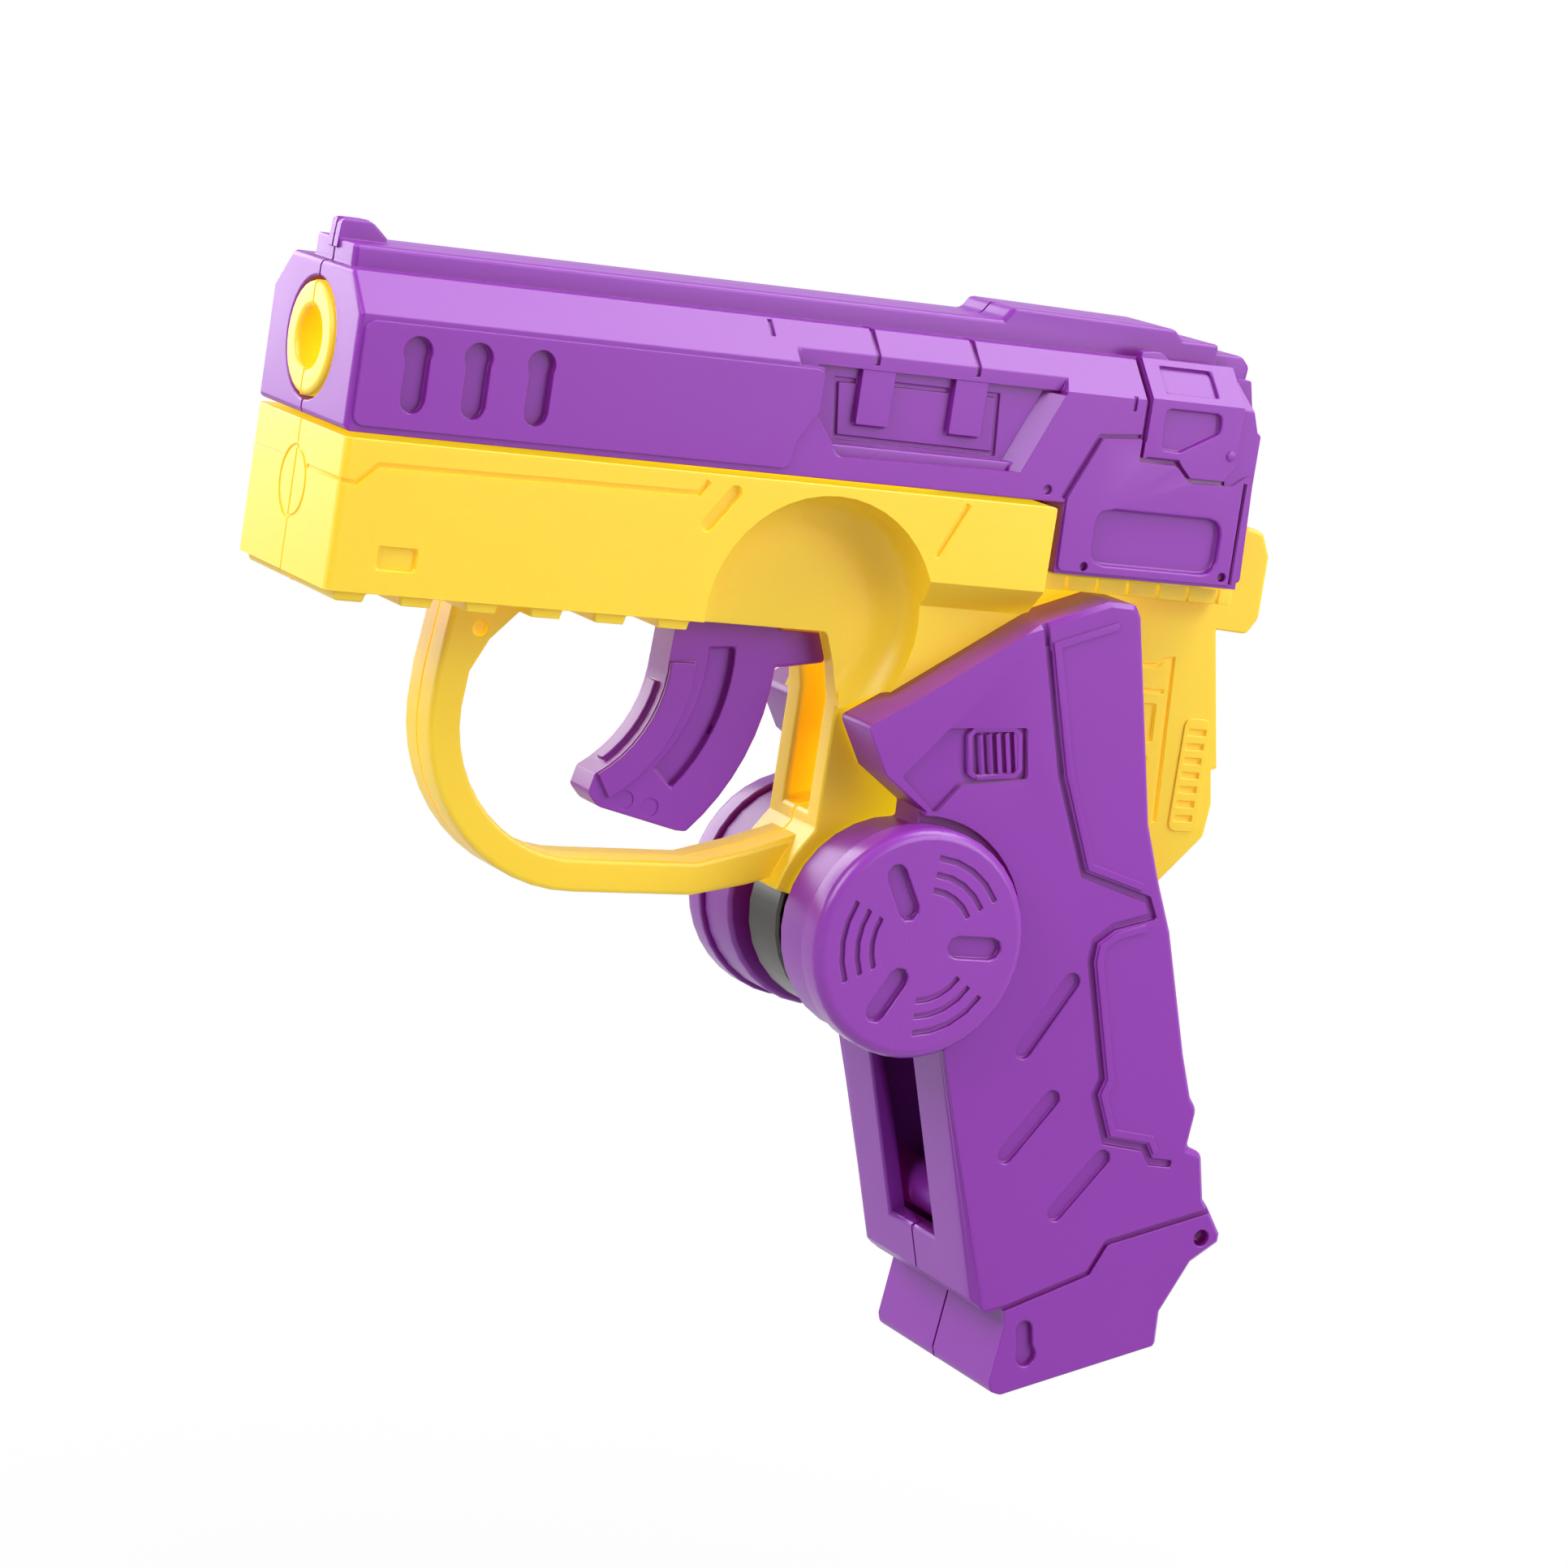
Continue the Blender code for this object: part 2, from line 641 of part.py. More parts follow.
    well = [(0.0520, HOOD_DROP), (0.0520, 0.0064), (0.0543, step)]
    well += [(0.0773, step), (0.0811, HOOD_DROP)]
    ledge = HOOD_DROP - 0.0002
    over = SLIDE_HEIGHT - 0.0014
    hood = [(0.0493, ledge), (0.0810, ledge), (0.0819, over), (0.0493, over)]
    cut(made, plate(name + "_port_rim", port, half - PORT_LEDGE, half + 0.002, side))
    cut(made, plate(name + "_port", well, half - PORT_DEPTH, half + 0.002, side))
    cut(made, plate(name + "_hood", hood, half - HOOD_STEP, half + 0.002, side))
    straps = []
    near = half - PORT_DEPTH - 0.0004
    far = half - PORT_DEPTH + STRAP_LIFT
    for x in (0.0572, 0.0683):
        limits = (x, x + STRAP_WIDTH)
        straps.append(box(f"{name}_strap_{x}", limits, (near, far), (0.0057, HOOD_DROP + 0.0003), side))
    join(made, merged(name + "_straps", straps))
    wall = half - HOOD_STEP - 0.0004
    rib_foot = TOP_RIB_WIDTH / 2 + 0.0002
    skin = [(wall, HOOD_DROP + 0.0005), (wall, chamfer(wall) - 0.0004)]
    skin += [(SLIDE_CROWN / 2 - 0.0003, SLIDE_HEIGHT - 0.0003), (rib_foot, SLIDE_HEIGHT - 0.0003)]
    skin += [(rib_foot, TOP), (half + 0.002, TOP), (half + 0.002, HOOD_DROP + 0.0005)]
    seams = [bar(f"{name}_seam_{x}", skin, x, x + SEAM_WIDTH, side) for x in (0.0584, 0.0704)]
    cut(made, merged(name + "_seams", seams))
    rise = half + PANEL_RISE
    brow = SLIDE_SIDE + PANEL_RISE
    crest = (SLIDE_CROWN / 2 + PANEL_RISE, SLIDE_HEIGHT + PANEL_RISE)
    cabin = [(half - 0.0006, 0.0058), (rise, 0.0058), (rise, brow), crest, (crest[0] - 0.0012, crest[1])]
    cabin += [(crest[0] - 0.0012, crest[1] - 0.0013), (half - 0.0010, SLIDE_SIDE - 0.0008)]
    join(made, bar(name + "_cabin", cabin, CABIN_START, CABIN_END, side))
    skirt = [(0.0953, 0.0065), (0.0958, 0.0057), (0.0972, 0.0040), (0.1016, 0.0040)]
    skirt += [(CABIN_END, 0.0056), (CABIN_END, 0.0065)]
    join(made, plate(name + "_cabin_skirt", skirt, half - 0.0006, rise, side))
    peak = SLIDE_HEIGHT + HOOK_RISE
    hook = [(0.0915, peak - 0.0017), (0.0915, peak - 0.0002), (0.0939, peak)]
    hook += [(0.0954, peak - 0.0011), (0.0954, peak - 0.0017)]
    join(made, plate(name + "_cabin_hook", hook, crest[0] - 0.0014, crest[0] - 0.0002, side))
    window = mm((93.2, 11.1), (100.2, 11.1), (100.4, 9.1), (95.7, 6.6), (93.4, 6.7))
    sunk = rise - WINDOW_DEPTH
    cut(made, plate(name + "_cabin_window", rounded(window, 0.0006, 2), sunk, half + 0.002, side))
    slope = Vector((rise - crest[0], brow - crest[1]))
    down = slope.normalized()
    out = Vector((-down.y, down.x))
    low = Vector(crest) + slope * 0.82
    high = Vector(crest) + slope * 0.15
    roof = [low - out * ROOF_DEPTH, low + out * 0.002, high + out * 0.002, high - out * ROOF_DEPTH]
    cut(made, bar(name + "_cabin_roof", [tuple(v) for v in roof], 0.0933, 0.0999, side))
    peak = SLIDE_HEIGHT + LUMP_RISE
    lump = [(0.1005, peak - 0.0020), (0.1021, peak), (0.1064, peak - 0.0001), (0.1075, peak - 0.0012)]
    lump += [(0.1073, peak - 0.0031), (0.1030, peak - 0.0031)]
    join(made, plate(name + "_rear_lump", lump, HALF, LUMP_WIDTH / 2, side))
    lower = [(0.0829, 0.0006), (0.0861, 0.0072), (0.0914, 0.0076), (0.0918, 0.0051), (0.0956, 0.0051)]
    lower += [(0.0978, 0.0034), (0.1030, 0.0036), (0.1052, 0.0052), (0.1052, -0.0071), (0.0831, -0.0071)]
    join(made, plate(name + "_rear_panel", rounded(lower, 0.0005, 2), half - 0.0005, rise, side))
    grasp = rounded(mm((86.8, -6.2), (102.5, -6.2), (102.5, -0.2), (86.8, -0.2)), 0.0016)
    cut(made, plate(name + "_grasp_recess", grasp, half - 0.0005, half + 0.002, side))
    boss(made, side, SLIDE_SCREWS, SLIDE_INNER)
    bore(made, side, SLIDE_SCREWS, SLIDE_HEAD_FACE, SLIDE_INNER)
    smooth(made)
    return made


def guard_outline():
    """Trigger guard band: a round bow in front, then a long run back to the bearing seat."""
    x, z = GUARD_BACK, -GUARD_DROP
    out = GUARD_RADIUS
    inn = GUARD_RADIUS - GUARD_THICKNESS
    end = (PIVOT_BACK - 0.0088, -PIVOT_DROP + 0.0048)
    low = (x + 0.0145, z - out + 0.0004)
    outer = [(x - out + 0.0012, FRAME_BOTTOM + 0.0010), (x - out + 0.0001, z + 0.0035)]
    outer += arc(x, z, out, 182, 272, 12)
    outer += [low, ((low[0] + end[0]) / 2, low[1] + (end[1] - low[1]) * 0.42), end]
    inner = [(end[0] + 0.0012, end[1] + 0.0046), ((low[0] + end[0]) / 2, low[1] + 0.0054)]
    inner += [(low[0], low[1] + GUARD_THICKNESS)]
    inner += arc(x, z, inn, 274, 180, 12)
    inner += [(x - inn + 0.0003, z + 0.0038), (x - inn + 0.0020, z + 0.0072)]
    inner += [(x - inn + 0.0046, z + 0.0100), (x - inn + 0.0078, FRAME_BOTTOM + 0.0010)]
    return outer + inner


def tail_outline():
    """Post behind the trigger, hub around the bearing, rear end and upright tang."""
    end = SLIDE_LENGTH + BACK_PLATE
    tang = end + 0.0010
    post = POST_BACK
    hub = arc(PIVOT_BACK, -PIVOT_DROP, HUB_RADIUS, 140, 325, 20)
    front = DISH_BACK - DISH_RADIUS + 0.0021
    sole = FRAME_BOTTOM - 0.0009
    points = [(front, STRIP_TOP), (front, sole), (post - 0.0022, sole), (post - 0.0009, -0.0201)]
    points += [(post, -0.0241), (post, hub[0][1] + 0.0012)]
    points += hub
    points += [(end - 0.0068, -0.0468), (end - 0.0014, -0.0408), (end + 0.0030, -0.0359)]
    points += [(end + 0.0034, -0.0322), (end + 0.0027, -0.0286), (end + 0.0033, -0.0283)]
    points += [(end + 0.0002, -0.0129)]
    points += [(tang + 0.0034, -0.0131), (tang + TANG_LENGTH, -0.0113), (tang + TANG_LENGTH, -0.0044)]
    points += [(tang + TANG_LENGTH - 0.0012, -0.0018), (tang + 0.0012, -0.0013), (tang, -0.0026)]
    points += [(tang, STRIP_TOP)]
    return points


def grip_brow():
    """Upper edge of the grip's ear, from its back to its front corner."""
    rear = [(GRIP_BACK + x, EAR_TOP + z) for x, z in mm((-3.2, 0), (-11.6, -0.5))]
    return rear + [(GRIP_FRONT + x, EAR_TOP + z) for x, z in mm((1.0, -5.3), (-4.2, -6.6))]


def cheek_edge():
    """Side view of all that lies below the grip's upper edge, with a gap over it."""
    places = [LEAN @ Vector((x, 0, z + CHEEK_GAP)) for x, z in reversed(grip_brow())]
    line = [(place.x + PIVOT_BACK, place.z - PIVOT_DROP) for place in places]
    behind = FRAME_END + 0.02
    ends = [(behind, line[-1][1]), (behind, -PIVOT_DROP), (DISH_BACK, -PIVOT_DROP)]
    return [(DISH_BACK, line[0][1])] + line + ends


def frame_half(name, side):
    """One half of the frame: front box, barrel, guard, post, bearing seat, tail and slide rails."""
    half = FRAME_WIDTH / 2
    body = [(FRAME_FACE, DECK), (FRAME_FACE, FRAME_BOTTOM), (FRAME_END, FRAME_BOTTOM), (FRAME_END, DECK)]
    made = plate(name, body, HALF, half, side, parts, YELLOW)
    soften(made, 0.0008, 2, front_corner(FRAME_FACE, half))
    cheek = CHEEK_WIDTH / 2
    join(made, box(name + "_cheek", (POST_BACK, FRAME_END), (HALF, cheek), (-0.0270, -0.0120), side))
    bevel = [(cheek, -0.0096 - half + cheek), (half, -0.0096), (half + 0.003, -0.0096)]
    bevel += [(half + 0.003, -0.03), (cheek, -0.03)]
    cut(made, bar(name + "_rear_bevel", bevel, DISH_BACK, FRAME_END + 0.002, side))
    cut(made, plate(name + "_cheek_edge", cheek_edge(), TAIL_HALF, half + 0.003, side))
    hollow = mm((2.2, -2.5), (39.0, -2.5), (39.0, -13.9), (2.2, -13.9))
    cut(made, plate(name + "_hollow", hollow, -0.001, half - FRAME_WALL, side))
    join(made, plate(name + "_tail", tail_outline(), HALF, TAIL_HALF, side))
    guard = plate(name + "_guard", guard_outline(), HALF, GUARD_WIDTH / 2, side)
    soften(guard, 0.0006, 2, outer_rim(GUARD_WIDTH / 2))
    join(made, guard)
    floor = TAIL_HALF - RUN
    bowl = [(0, half + 0.003), (DISH_RADIUS, half + 0.003)]
    bowl += arc(DISH_RADIUS - DISH_FILLET, floor + DISH_FILLET, DISH_FILLET, 0, -90, 4)
    bowl += [(0, floor)]
    place = DATUM @ Matrix.Translation((DISH_BACK, 0, -DISH_DROP)) @ ALONG_Y
    if side < 0:
        place = place @ Matrix.Rotation(math.pi, 4, "X")
    dish = turned(name + "_dish", bowl, 44, place)
    cut(made, dish)
    start = DISH_BACK - DISH_RADIUS - 0.0004
    channel = POST_BACK + CHANNEL_DEPTH
    slot = [(start, -0.0050), (start, -0.03), (POST_BACK - 0.0020, -0.03), (POST_BACK - 0.0020, -0.0369)]
    slot += [(channel, -0.0340), (channel, -0.0050)]
    cut(made, plate(name + "_trigger_slot", slot, -0.001, TRIGGER_SLOT / 2, side))
    hub = (PIVOT_BACK, -PIVOT_DROP)
    opening = BEARING_DIAMETER / 2 - 0.0022
    seat = pin(name + "_seat", *hub, SEAT_RADIUS, -0.001, SEAT_HALF, side, steps=40)
    eye = pin(name + "_eye", *hub, opening, -0.001, 0.01, side, steps=32)
    mouth = [hub] + arc(*hub, HUB_RADIUS + RUN, 167, 300, 8)
    cut(made, seat, eye, plate(name + "_mouth", mouth, -0.001, 0.01, side))
    strip = [(FRAME_END - 0.001, STRIP_TOP), (SLIDE_LENGTH + 0.0017, STRIP_TOP)]
    strip += [(SLIDE_LENGTH + 0.0017, STRIP_BOTTOM), (FRAME_END - 0.001, STRIP_BOTTOM)]
    join(made, plate(name + "_deck_strip", strip, HALF, DECK_STRIP_WIDTH / 2, side))
    neck = LIP_INNER - 0.0004
    shelf = LIP_HEIGHT + 0.0004
    web = [(HALF, DECK - 0.001), (neck, DECK - 0.001), (neck, shelf)]
    web += [(SLIDE_INNER - 0.0006, shelf), (SLIDE_INNER - 0.0006, 0.0030), (HALF, 0.0030)]
    join(made, bar(name + "_slide_rail", web, PEDESTAL + 0.004, FRAME_END - 0.012, side))
    z = BARREL_HEIGHT
    tube = arc(0, z, TUBE_DIAMETER / 2, -88, 88, 10) + [(HALF, z + 0.001), (HALF, z - 0.001)]
    tube[0] = (HALF, z - TUBE_DIAMETER / 2)
    tube[10] = (HALF, z + TUBE_DIAMETER / 2)
    run = (PEDESTAL, PEDESTAL + 0.006)
    join(made, box(name + "_pedestal", run, (HALF, neck), (-0.002, z - 0.001), side))
    join(made, bar(name + "_tube", tube, 0.003, TUBE_LENGTH + 0.002, side))
    nose = [(HALF, z - NOSE_DIAMETER / 2)] + arc(0, z, NOSE_DIAMETER / 2, -84, 84, 14)
    nose += [(HALF, z + NOSE_DIAMETER / 2)]
    join(made, bar(name + "_nose", nose, -0.0003, NOSE_LENGTH, side))
    axis = DATUM @ Matrix.Translation((0, 0, z)) @ ALONG_X
    cut(made, rod(name + "_bore", BORE_DIAMETER / 2, -0.002, TUBE_LENGTH + 0.004, axis, 24))
    ribs = []
    for i in range(6):
        start = 0.0011 + i * UNDER_RIB_PITCH
        outline = [(start, FRAME_BOTTOM + 0.0006), (start + 0.0004, FRAME_BOTTOM - 0.0010)]
        outline += [(start + UNDER_RIB_LENGTH - 0.0004, FRAME_BOTTOM - 0.0010)]
        outline += [(start + UNDER_RIB_LENGTH, FRAME_BOTTOM + 0.0006)]
        ribs.append(plate(f"{name}_under_rib_{i}", outline, HALF, half - 0.0004, side))
    join(made, merged(name + "_under_ribs", ribs))
    groove = band(mm((1.8, -5.0), (4.0, -3.0), (39.7, -2.7), (40.6, -1.4)), 0.0006)
    slant = obround((0.0438, -0.0023), (0.0412, -0.0058), 0.0014)
    square = mm((5.3, -13.4), (9.6, -13.4), (9.6, -11), (5.3, -11))
    cut(made, plate(name + "_side_groove", groove, half - 0.0004, half + 0.002, side))
    step = band(mm((71.2, -1.2), (68.3, -6.9)), 0.0006)
    cut(made, plate(name + "_rear_groove", step, half - 0.0004, half + 0.002, side))
    cut(made, plate(name + "_slant_slot", slant, half - 0.0006, half + 0.002, side))
    cut(made, plate(name + "_square", square, half - 0.0004, half + 0.002, side))
    thumb = rounded(mm((106.0, -22.8), (109.3, -22.9), (109.7, -35.4), (106.0, -35.4)), 0.0008, 2)
    join(made, plate(name + "_thumb_pad", thumb, TAIL_HALF - 0.0004, TAIL_HALF + THUMB_RISE, side))
    valleys = []
    for i in range(7):
        z = -0.0240 - i * THUMB_PITCH
        limits = (z - THUMB_GROOVE, z)
        deep = TAIL_HALF - THUMB_RISE
        valleys.append(box(f"{name}_valley_{i}", (0.1066, 0.1088), (deep, half), limits, side))
    cut(made, merged(name + "_valleys", valleys))
    boss(made, side, FRAME_SCREWS, half - FRAME_WALL)
    bore(made, side, FRAME_SCREWS, FRAME_HEAD_FACE, half - FRAME_WALL)
    bore(made, side, TAIL_SCREWS, TAIL_HEAD_FACE, TAIL_HALF)
    smooth(made)
    return made


def trigger():
    """Curved blade that slides in the frame, with a tongue into the post."""
    front = (TRIGGER_FRONT_BACK, -TRIGGER_FRONT_DROP)
    rear = (TRIGGER_REAR_BACK, -TRIGGER_REAR_DROP)
    nose = TRIGGER_FRONT_RADIUS
    heel = TRIGGER_REAR_RADIUS
    half = TRIGGER_WIDTH / 2
    outline = [(front[0] + nose + 0.0005, -TRIGGER_HEAD_TOP)] + arc(*front, nose, 4, -58, 9)
    outline += [(0.0370, -0.0362), (0.0384, -0.0376), (0.0478, -TRIGGER_REACH)]
    outline += arc(*rear, heel, -45, 0, 8)
    outline += [(TONGUE_END - 0.0046, -TONGUE_TOP - TONGUE_HEIGHT - 0.0008)]
    outline += [(TONGUE_END, -TONGUE_TOP - TONGUE_HEIGHT), (TONGUE_END, -TONGUE_TOP)]
    outline += [(TRIGGER_HEAD_BACK, -TONGUE_TOP), (TRIGGER_HEAD_BACK, -TRIGGER_HEAD_TOP)]
    made = plate("trigger", outline, -half, half, 1, parts, PURPLE)
    rib = arc(*front, nose - TRIGGER_RIB_RISE, -8, -50, 7) + arc(*front, nose + 0.0006, -50, -8, 7)
    join(made, plate("trigger_rib", rib, -TRIGGER_RIB_WIDTH / 2, TRIGGER_RIB_WIDTH / 2, 1))
    track = arc(*rear, heel - TRIGGER_TRACK_INSET, -40, 4, 8)
    track += arc(*rear, heel - TRIGGER_TRACK_INSET - TRIGGER_TRACK_WIDTH, 4, -40, 8)
    for side in (-1, 1):
        cut(made, plate(f"trigger_track_{side}", track, half - 0.0005, 0.01, side))
    smooth(made)
    return made


def spring(name, start, end, height, radius, wire, turns):
    """One unbroken wire coil along X."""
    curve = bpy.data.curves.new(name, "CURVE")
    curve.dimensions = "3D"
    curve.bevel_depth = wire / 2
    curve.bevel_resolution = 1
    curve.use_fill_caps = True
    spline = curve.splines.new("POLY")
    count = turns * 9
    spline.points.add(count)
    for i, point in enumerate(spline.points):
        angle = 2 * math.pi * i / 9
        x = start + wire / 2 + (end - start - wire) * i / count
        point.co = (x, radius * math.cos(angle), height + radius * math.sin(angle), 1.0)
    guide = bpy.data.objects.new(name + "_wire", curve)
    guide.matrix_world = DATUM
    bpy.context.scene.collection.objects.link(guide)
    bpy.context.view_layer.update()
    graph = bpy.context.evaluated_depsgraph_get()
    mesh = bpy.data.meshes.new_from_object(guide.evaluated_get(graph))
    mesh.transform(guide.matrix_world)
    bpy.data.objects.remove(guide, do_unlink=True)
    work = bmesh.new()
    work.from_mesh(mesh)
    bmesh.ops.remove_doubles(work, verts=work.verts, dist=1e-6)
    bmesh.ops.recalc_face_normals(work, faces=work.faces)
    work.to_mesh(mesh)
    work.free()
    made = add(name, mesh, parts, ZINC)
    smooth(made, 60)
    gap = (end - start - wire) / turns - wire
    print(f"{name}: least gap between curls {gap * 1000:.2f} mm")
    return made


def bearing():
    """Standard ball bearing about the spinner axle, closed by two rubber seals."""
    half = BEARING_WIDTH / 2
    groove = BALL_DIAMETER / 2 + 0.0001
    pitch = BALL_PITCH_RADIUS
    rise = math.degrees(math.asin(SHOULDER / groove))
    seal_seat = half - SEAL_THICKNESS - 0.0002
    outer = BEARING_DIAMETER / 2
    outer_in = pitch + SHOULDER
    seat = outer_in + 0.0006
    chip = 0.0003
    profile = [(outer - chip, half), (outer, half - chip), (outer, -half + chip), (outer - chip, -half)]
    profile += [(seat, -half), (seat, -seal_seat), (outer_in, -seal_seat)]
    profile += arc(pitch, 0, groove, -90 + rise, 90 - rise, 4)
    profile += [(outer_in, seal_seat), (seat, seal_seat), (seat, half)]
    turned("bearing_outer_race", profile, 28, ALONG_Y, parts, DARK_STEEL, closed=True)
    inner_out = pitch - SHOULDER
    bore = BEARING_BORE / 2
    profile = [(inner_out, half)]
    profile += arc(pitch, 0, groove, 90 + rise, 270 - rise, 4)
    profile += [(inner_out, -half), (bore, -half), (bore, half)]
    turned("bearing_inner_race", profile, 24, ALONG_Y, parts, STEEL, closed=True)
    for i in range(BALL_COUNT):
        angle = 2 * math.pi * i / BALL_COUNT
        mesh = bpy.data.meshes.new(f"bearing_ball_{i + 1}")
        work = bmesh.new()
        bmesh.ops.create_uvsphere(work, u_segments=8, v_segments=6, radius=BALL_DIAMETER / 2)
        work.to_mesh(mesh)
        work.free()
        ball = add(f"bearing_ball_{i + 1}", mesh, parts, STEEL)
        ball.location = (pitch * math.cos(angle), 0, pitch * math.sin(angle))
        smooth(ball, 60)
    top = seal_seat - RUN
    profile = [(pitch + 0.0007, top), (pitch + 0.0007, -0.0003)]
    profile += [(pitch - 0.0007, -0.0003), (pitch - 0.0007, top)]
    cage = turned("bearing_cage", profile, 28, ALONG_Y, parts, NYLON, closed=True)
    pockets = bpy.data.meshes.new("cage_pockets")
    work = bmesh.new()
    for i in range(BALL_COUNT):
        angle = 2 * math.pi * i / BALL_COUNT
        place = Matrix.Translation((pitch * math.cos(angle), 0, pitch * math.sin(angle)))
        bmesh.ops.create_uvsphere(
            work, u_segments=8, v_segments=6, radius=BALL_DIAMETER / 2 + 0.00035, matrix=place
        )
    work.to_mesh(pockets)
    work.free()
    cut(cage, add("cage_pockets", pockets, cutters))
    for side, label in ((-1, "left"), (1, "right")):
        low, high = sorted((side * (half - 0.0001), side * (half - 0.0001 - SEAL_THICKNESS)))
        edge = seat - RUN
        lip = inner_out + RUN
        profile = [(edge, high), (edge, low), (lip, low), (lip, high)]
        turned(f"bearing_seal_{label}", profile, 24, ALONG_Y, parts, RUBBER, closed=True)


def finger_cap(name, side):
    """Finger cap with a rounded rim, three slots and three sets of arcs in its face."""
    radius = CAP_RADIUS
    top = CAP_OUTER
    socket = AXLE_RADIUS + RUN
    profile = [(0, top), (radius - CAP_ROUND, top)]
    profile += arc(radius - CAP_ROUND, top - CAP_ROUND, CAP_ROUND, 90, 0, 4)[1:]
    profile += [(radius, CAP_INNER), (socket, CAP_INNER)]
    profile += [(socket, CAP_INNER + 0.0024), (0, CAP_INNER + 0.0024)]
    stand = ALONG_Y if side > 0 else ALONG_Y @ Matrix.Rotation(math.pi, 4, "X")
    made = turned(name, profile, 40, stand, parts, PURPLE_CAP)
    marks = []
    for i in range(3):
        angle = math.radians(120 * i)
        heading = (math.cos(angle), math.sin(angle))
        limits = (0.0031 + CAP_SLOT_WIDTH / 2, 0.0097 - CAP_SLOT_WIDTH / 2)
        ends = [tuple(r * h for h in heading) for r in limits]
        outline = obround(ends[0], ends[1], CAP_SLOT_WIDTH, 4)
        tag = f"{name}_slot_{i}"
        marks.append(plate(tag, outline, top - CAP_SLOT_DEPTH, top + 0.002, side, stand=Matrix()))
        for k, reach in enumerate((0.0060, 0.0077, 0.0095)):
            middle = 120 * i + 60
            ring = arc(0, 0, reach + 0.0003, middle - 27, middle + 27, 4)
            ring += arc(0, 0, reach - 0.0003, middle + 27, middle - 27, 4)
            marks.append(plate(f"{tag}_arc_{k}", ring, top - 0.0004, top + 0.002, side, stand=Matrix()))
    cut(made, merged(name + "_marks", marks))
    return made


def spinner():
    """Axle, spacers and finger caps that turn with the inner race."""
    tip = CAP_INNER + 0.0020
    chip = 0.0004
    profile = [(0, tip), (AXLE_RADIUS - chip, tip), (AXLE_RADIUS, tip - chip)]
    profile += [(AXLE_RADIUS, -tip + chip), (AXLE_RADIUS - chip, -tip), (0, -tip)]
    turned("spinner_axle", profile, 24, ALONG_Y, parts, ZINC)
    near = BEARING_WIDTH / 2 + RUN
    far = CAP_INNER - RUN
    outer = SPACER_DIAMETER / 2
    bore = AXLE_RADIUS + RUN
    for side, label in ((-1, "left"), (1, "right")):
        low, high = sorted((side * near, side * far))
        profile = [(outer, high), (outer, low), (bore, low), (bore, high)]
        turned(f"axle_spacer_{label}", profile, 24, ALONG_Y, parts, ZINC, closed=True)
        finger_cap(f"finger_cap_{label}", side)


def grip_outline():
    """Side view of a grip half: lug, front, base, back and ear."""
    front = GRIP_FRONT
    back = GRIP_BACK
    foot = -GRIP_REACH
    top = EAR_TOP
    start = math.degrees(math.acos(front / LUG_RADIUS))
    points = arc(0, 0, LUG_RADIUS, 75, 360 - start, 18)
    toe = mm((0, 11.8), (1.6, 9.7), (3.6, 9.7), (3.5, 8.0), (0.8, 2.0), (0.8, 0.8), (2.0, 0))
    points += [(front + x, foot + z) for x, z in toe]
    heel = mm((-7.4, 0), (-6.4, 3.7), (-1.9, 8.3), (1.8, 9.6), (2.1, 10.5), (1.0, 14.0), (0.5, 15.1))
    heel += mm((0.9, 20.5), (-0.8, 21.6), (0.9, 25.6), (0.3, 27.2))
    points += [(back + x, foot + z) for x, z in heel]
    spine = mm((0, -21.8), (-0.1, -7.5), (-0.8, -1.7), (-1.3, 5.2))
    points += [(back + x, z) for x, z in spine]
    points += [(back + 0.0004, top - 0.0026), (back, top - 0.0011)]
    points += grip_brow()
    points += [(front - 0.0028, top - 0.0123), (front + 0.0012, 0.0134)]
    return points


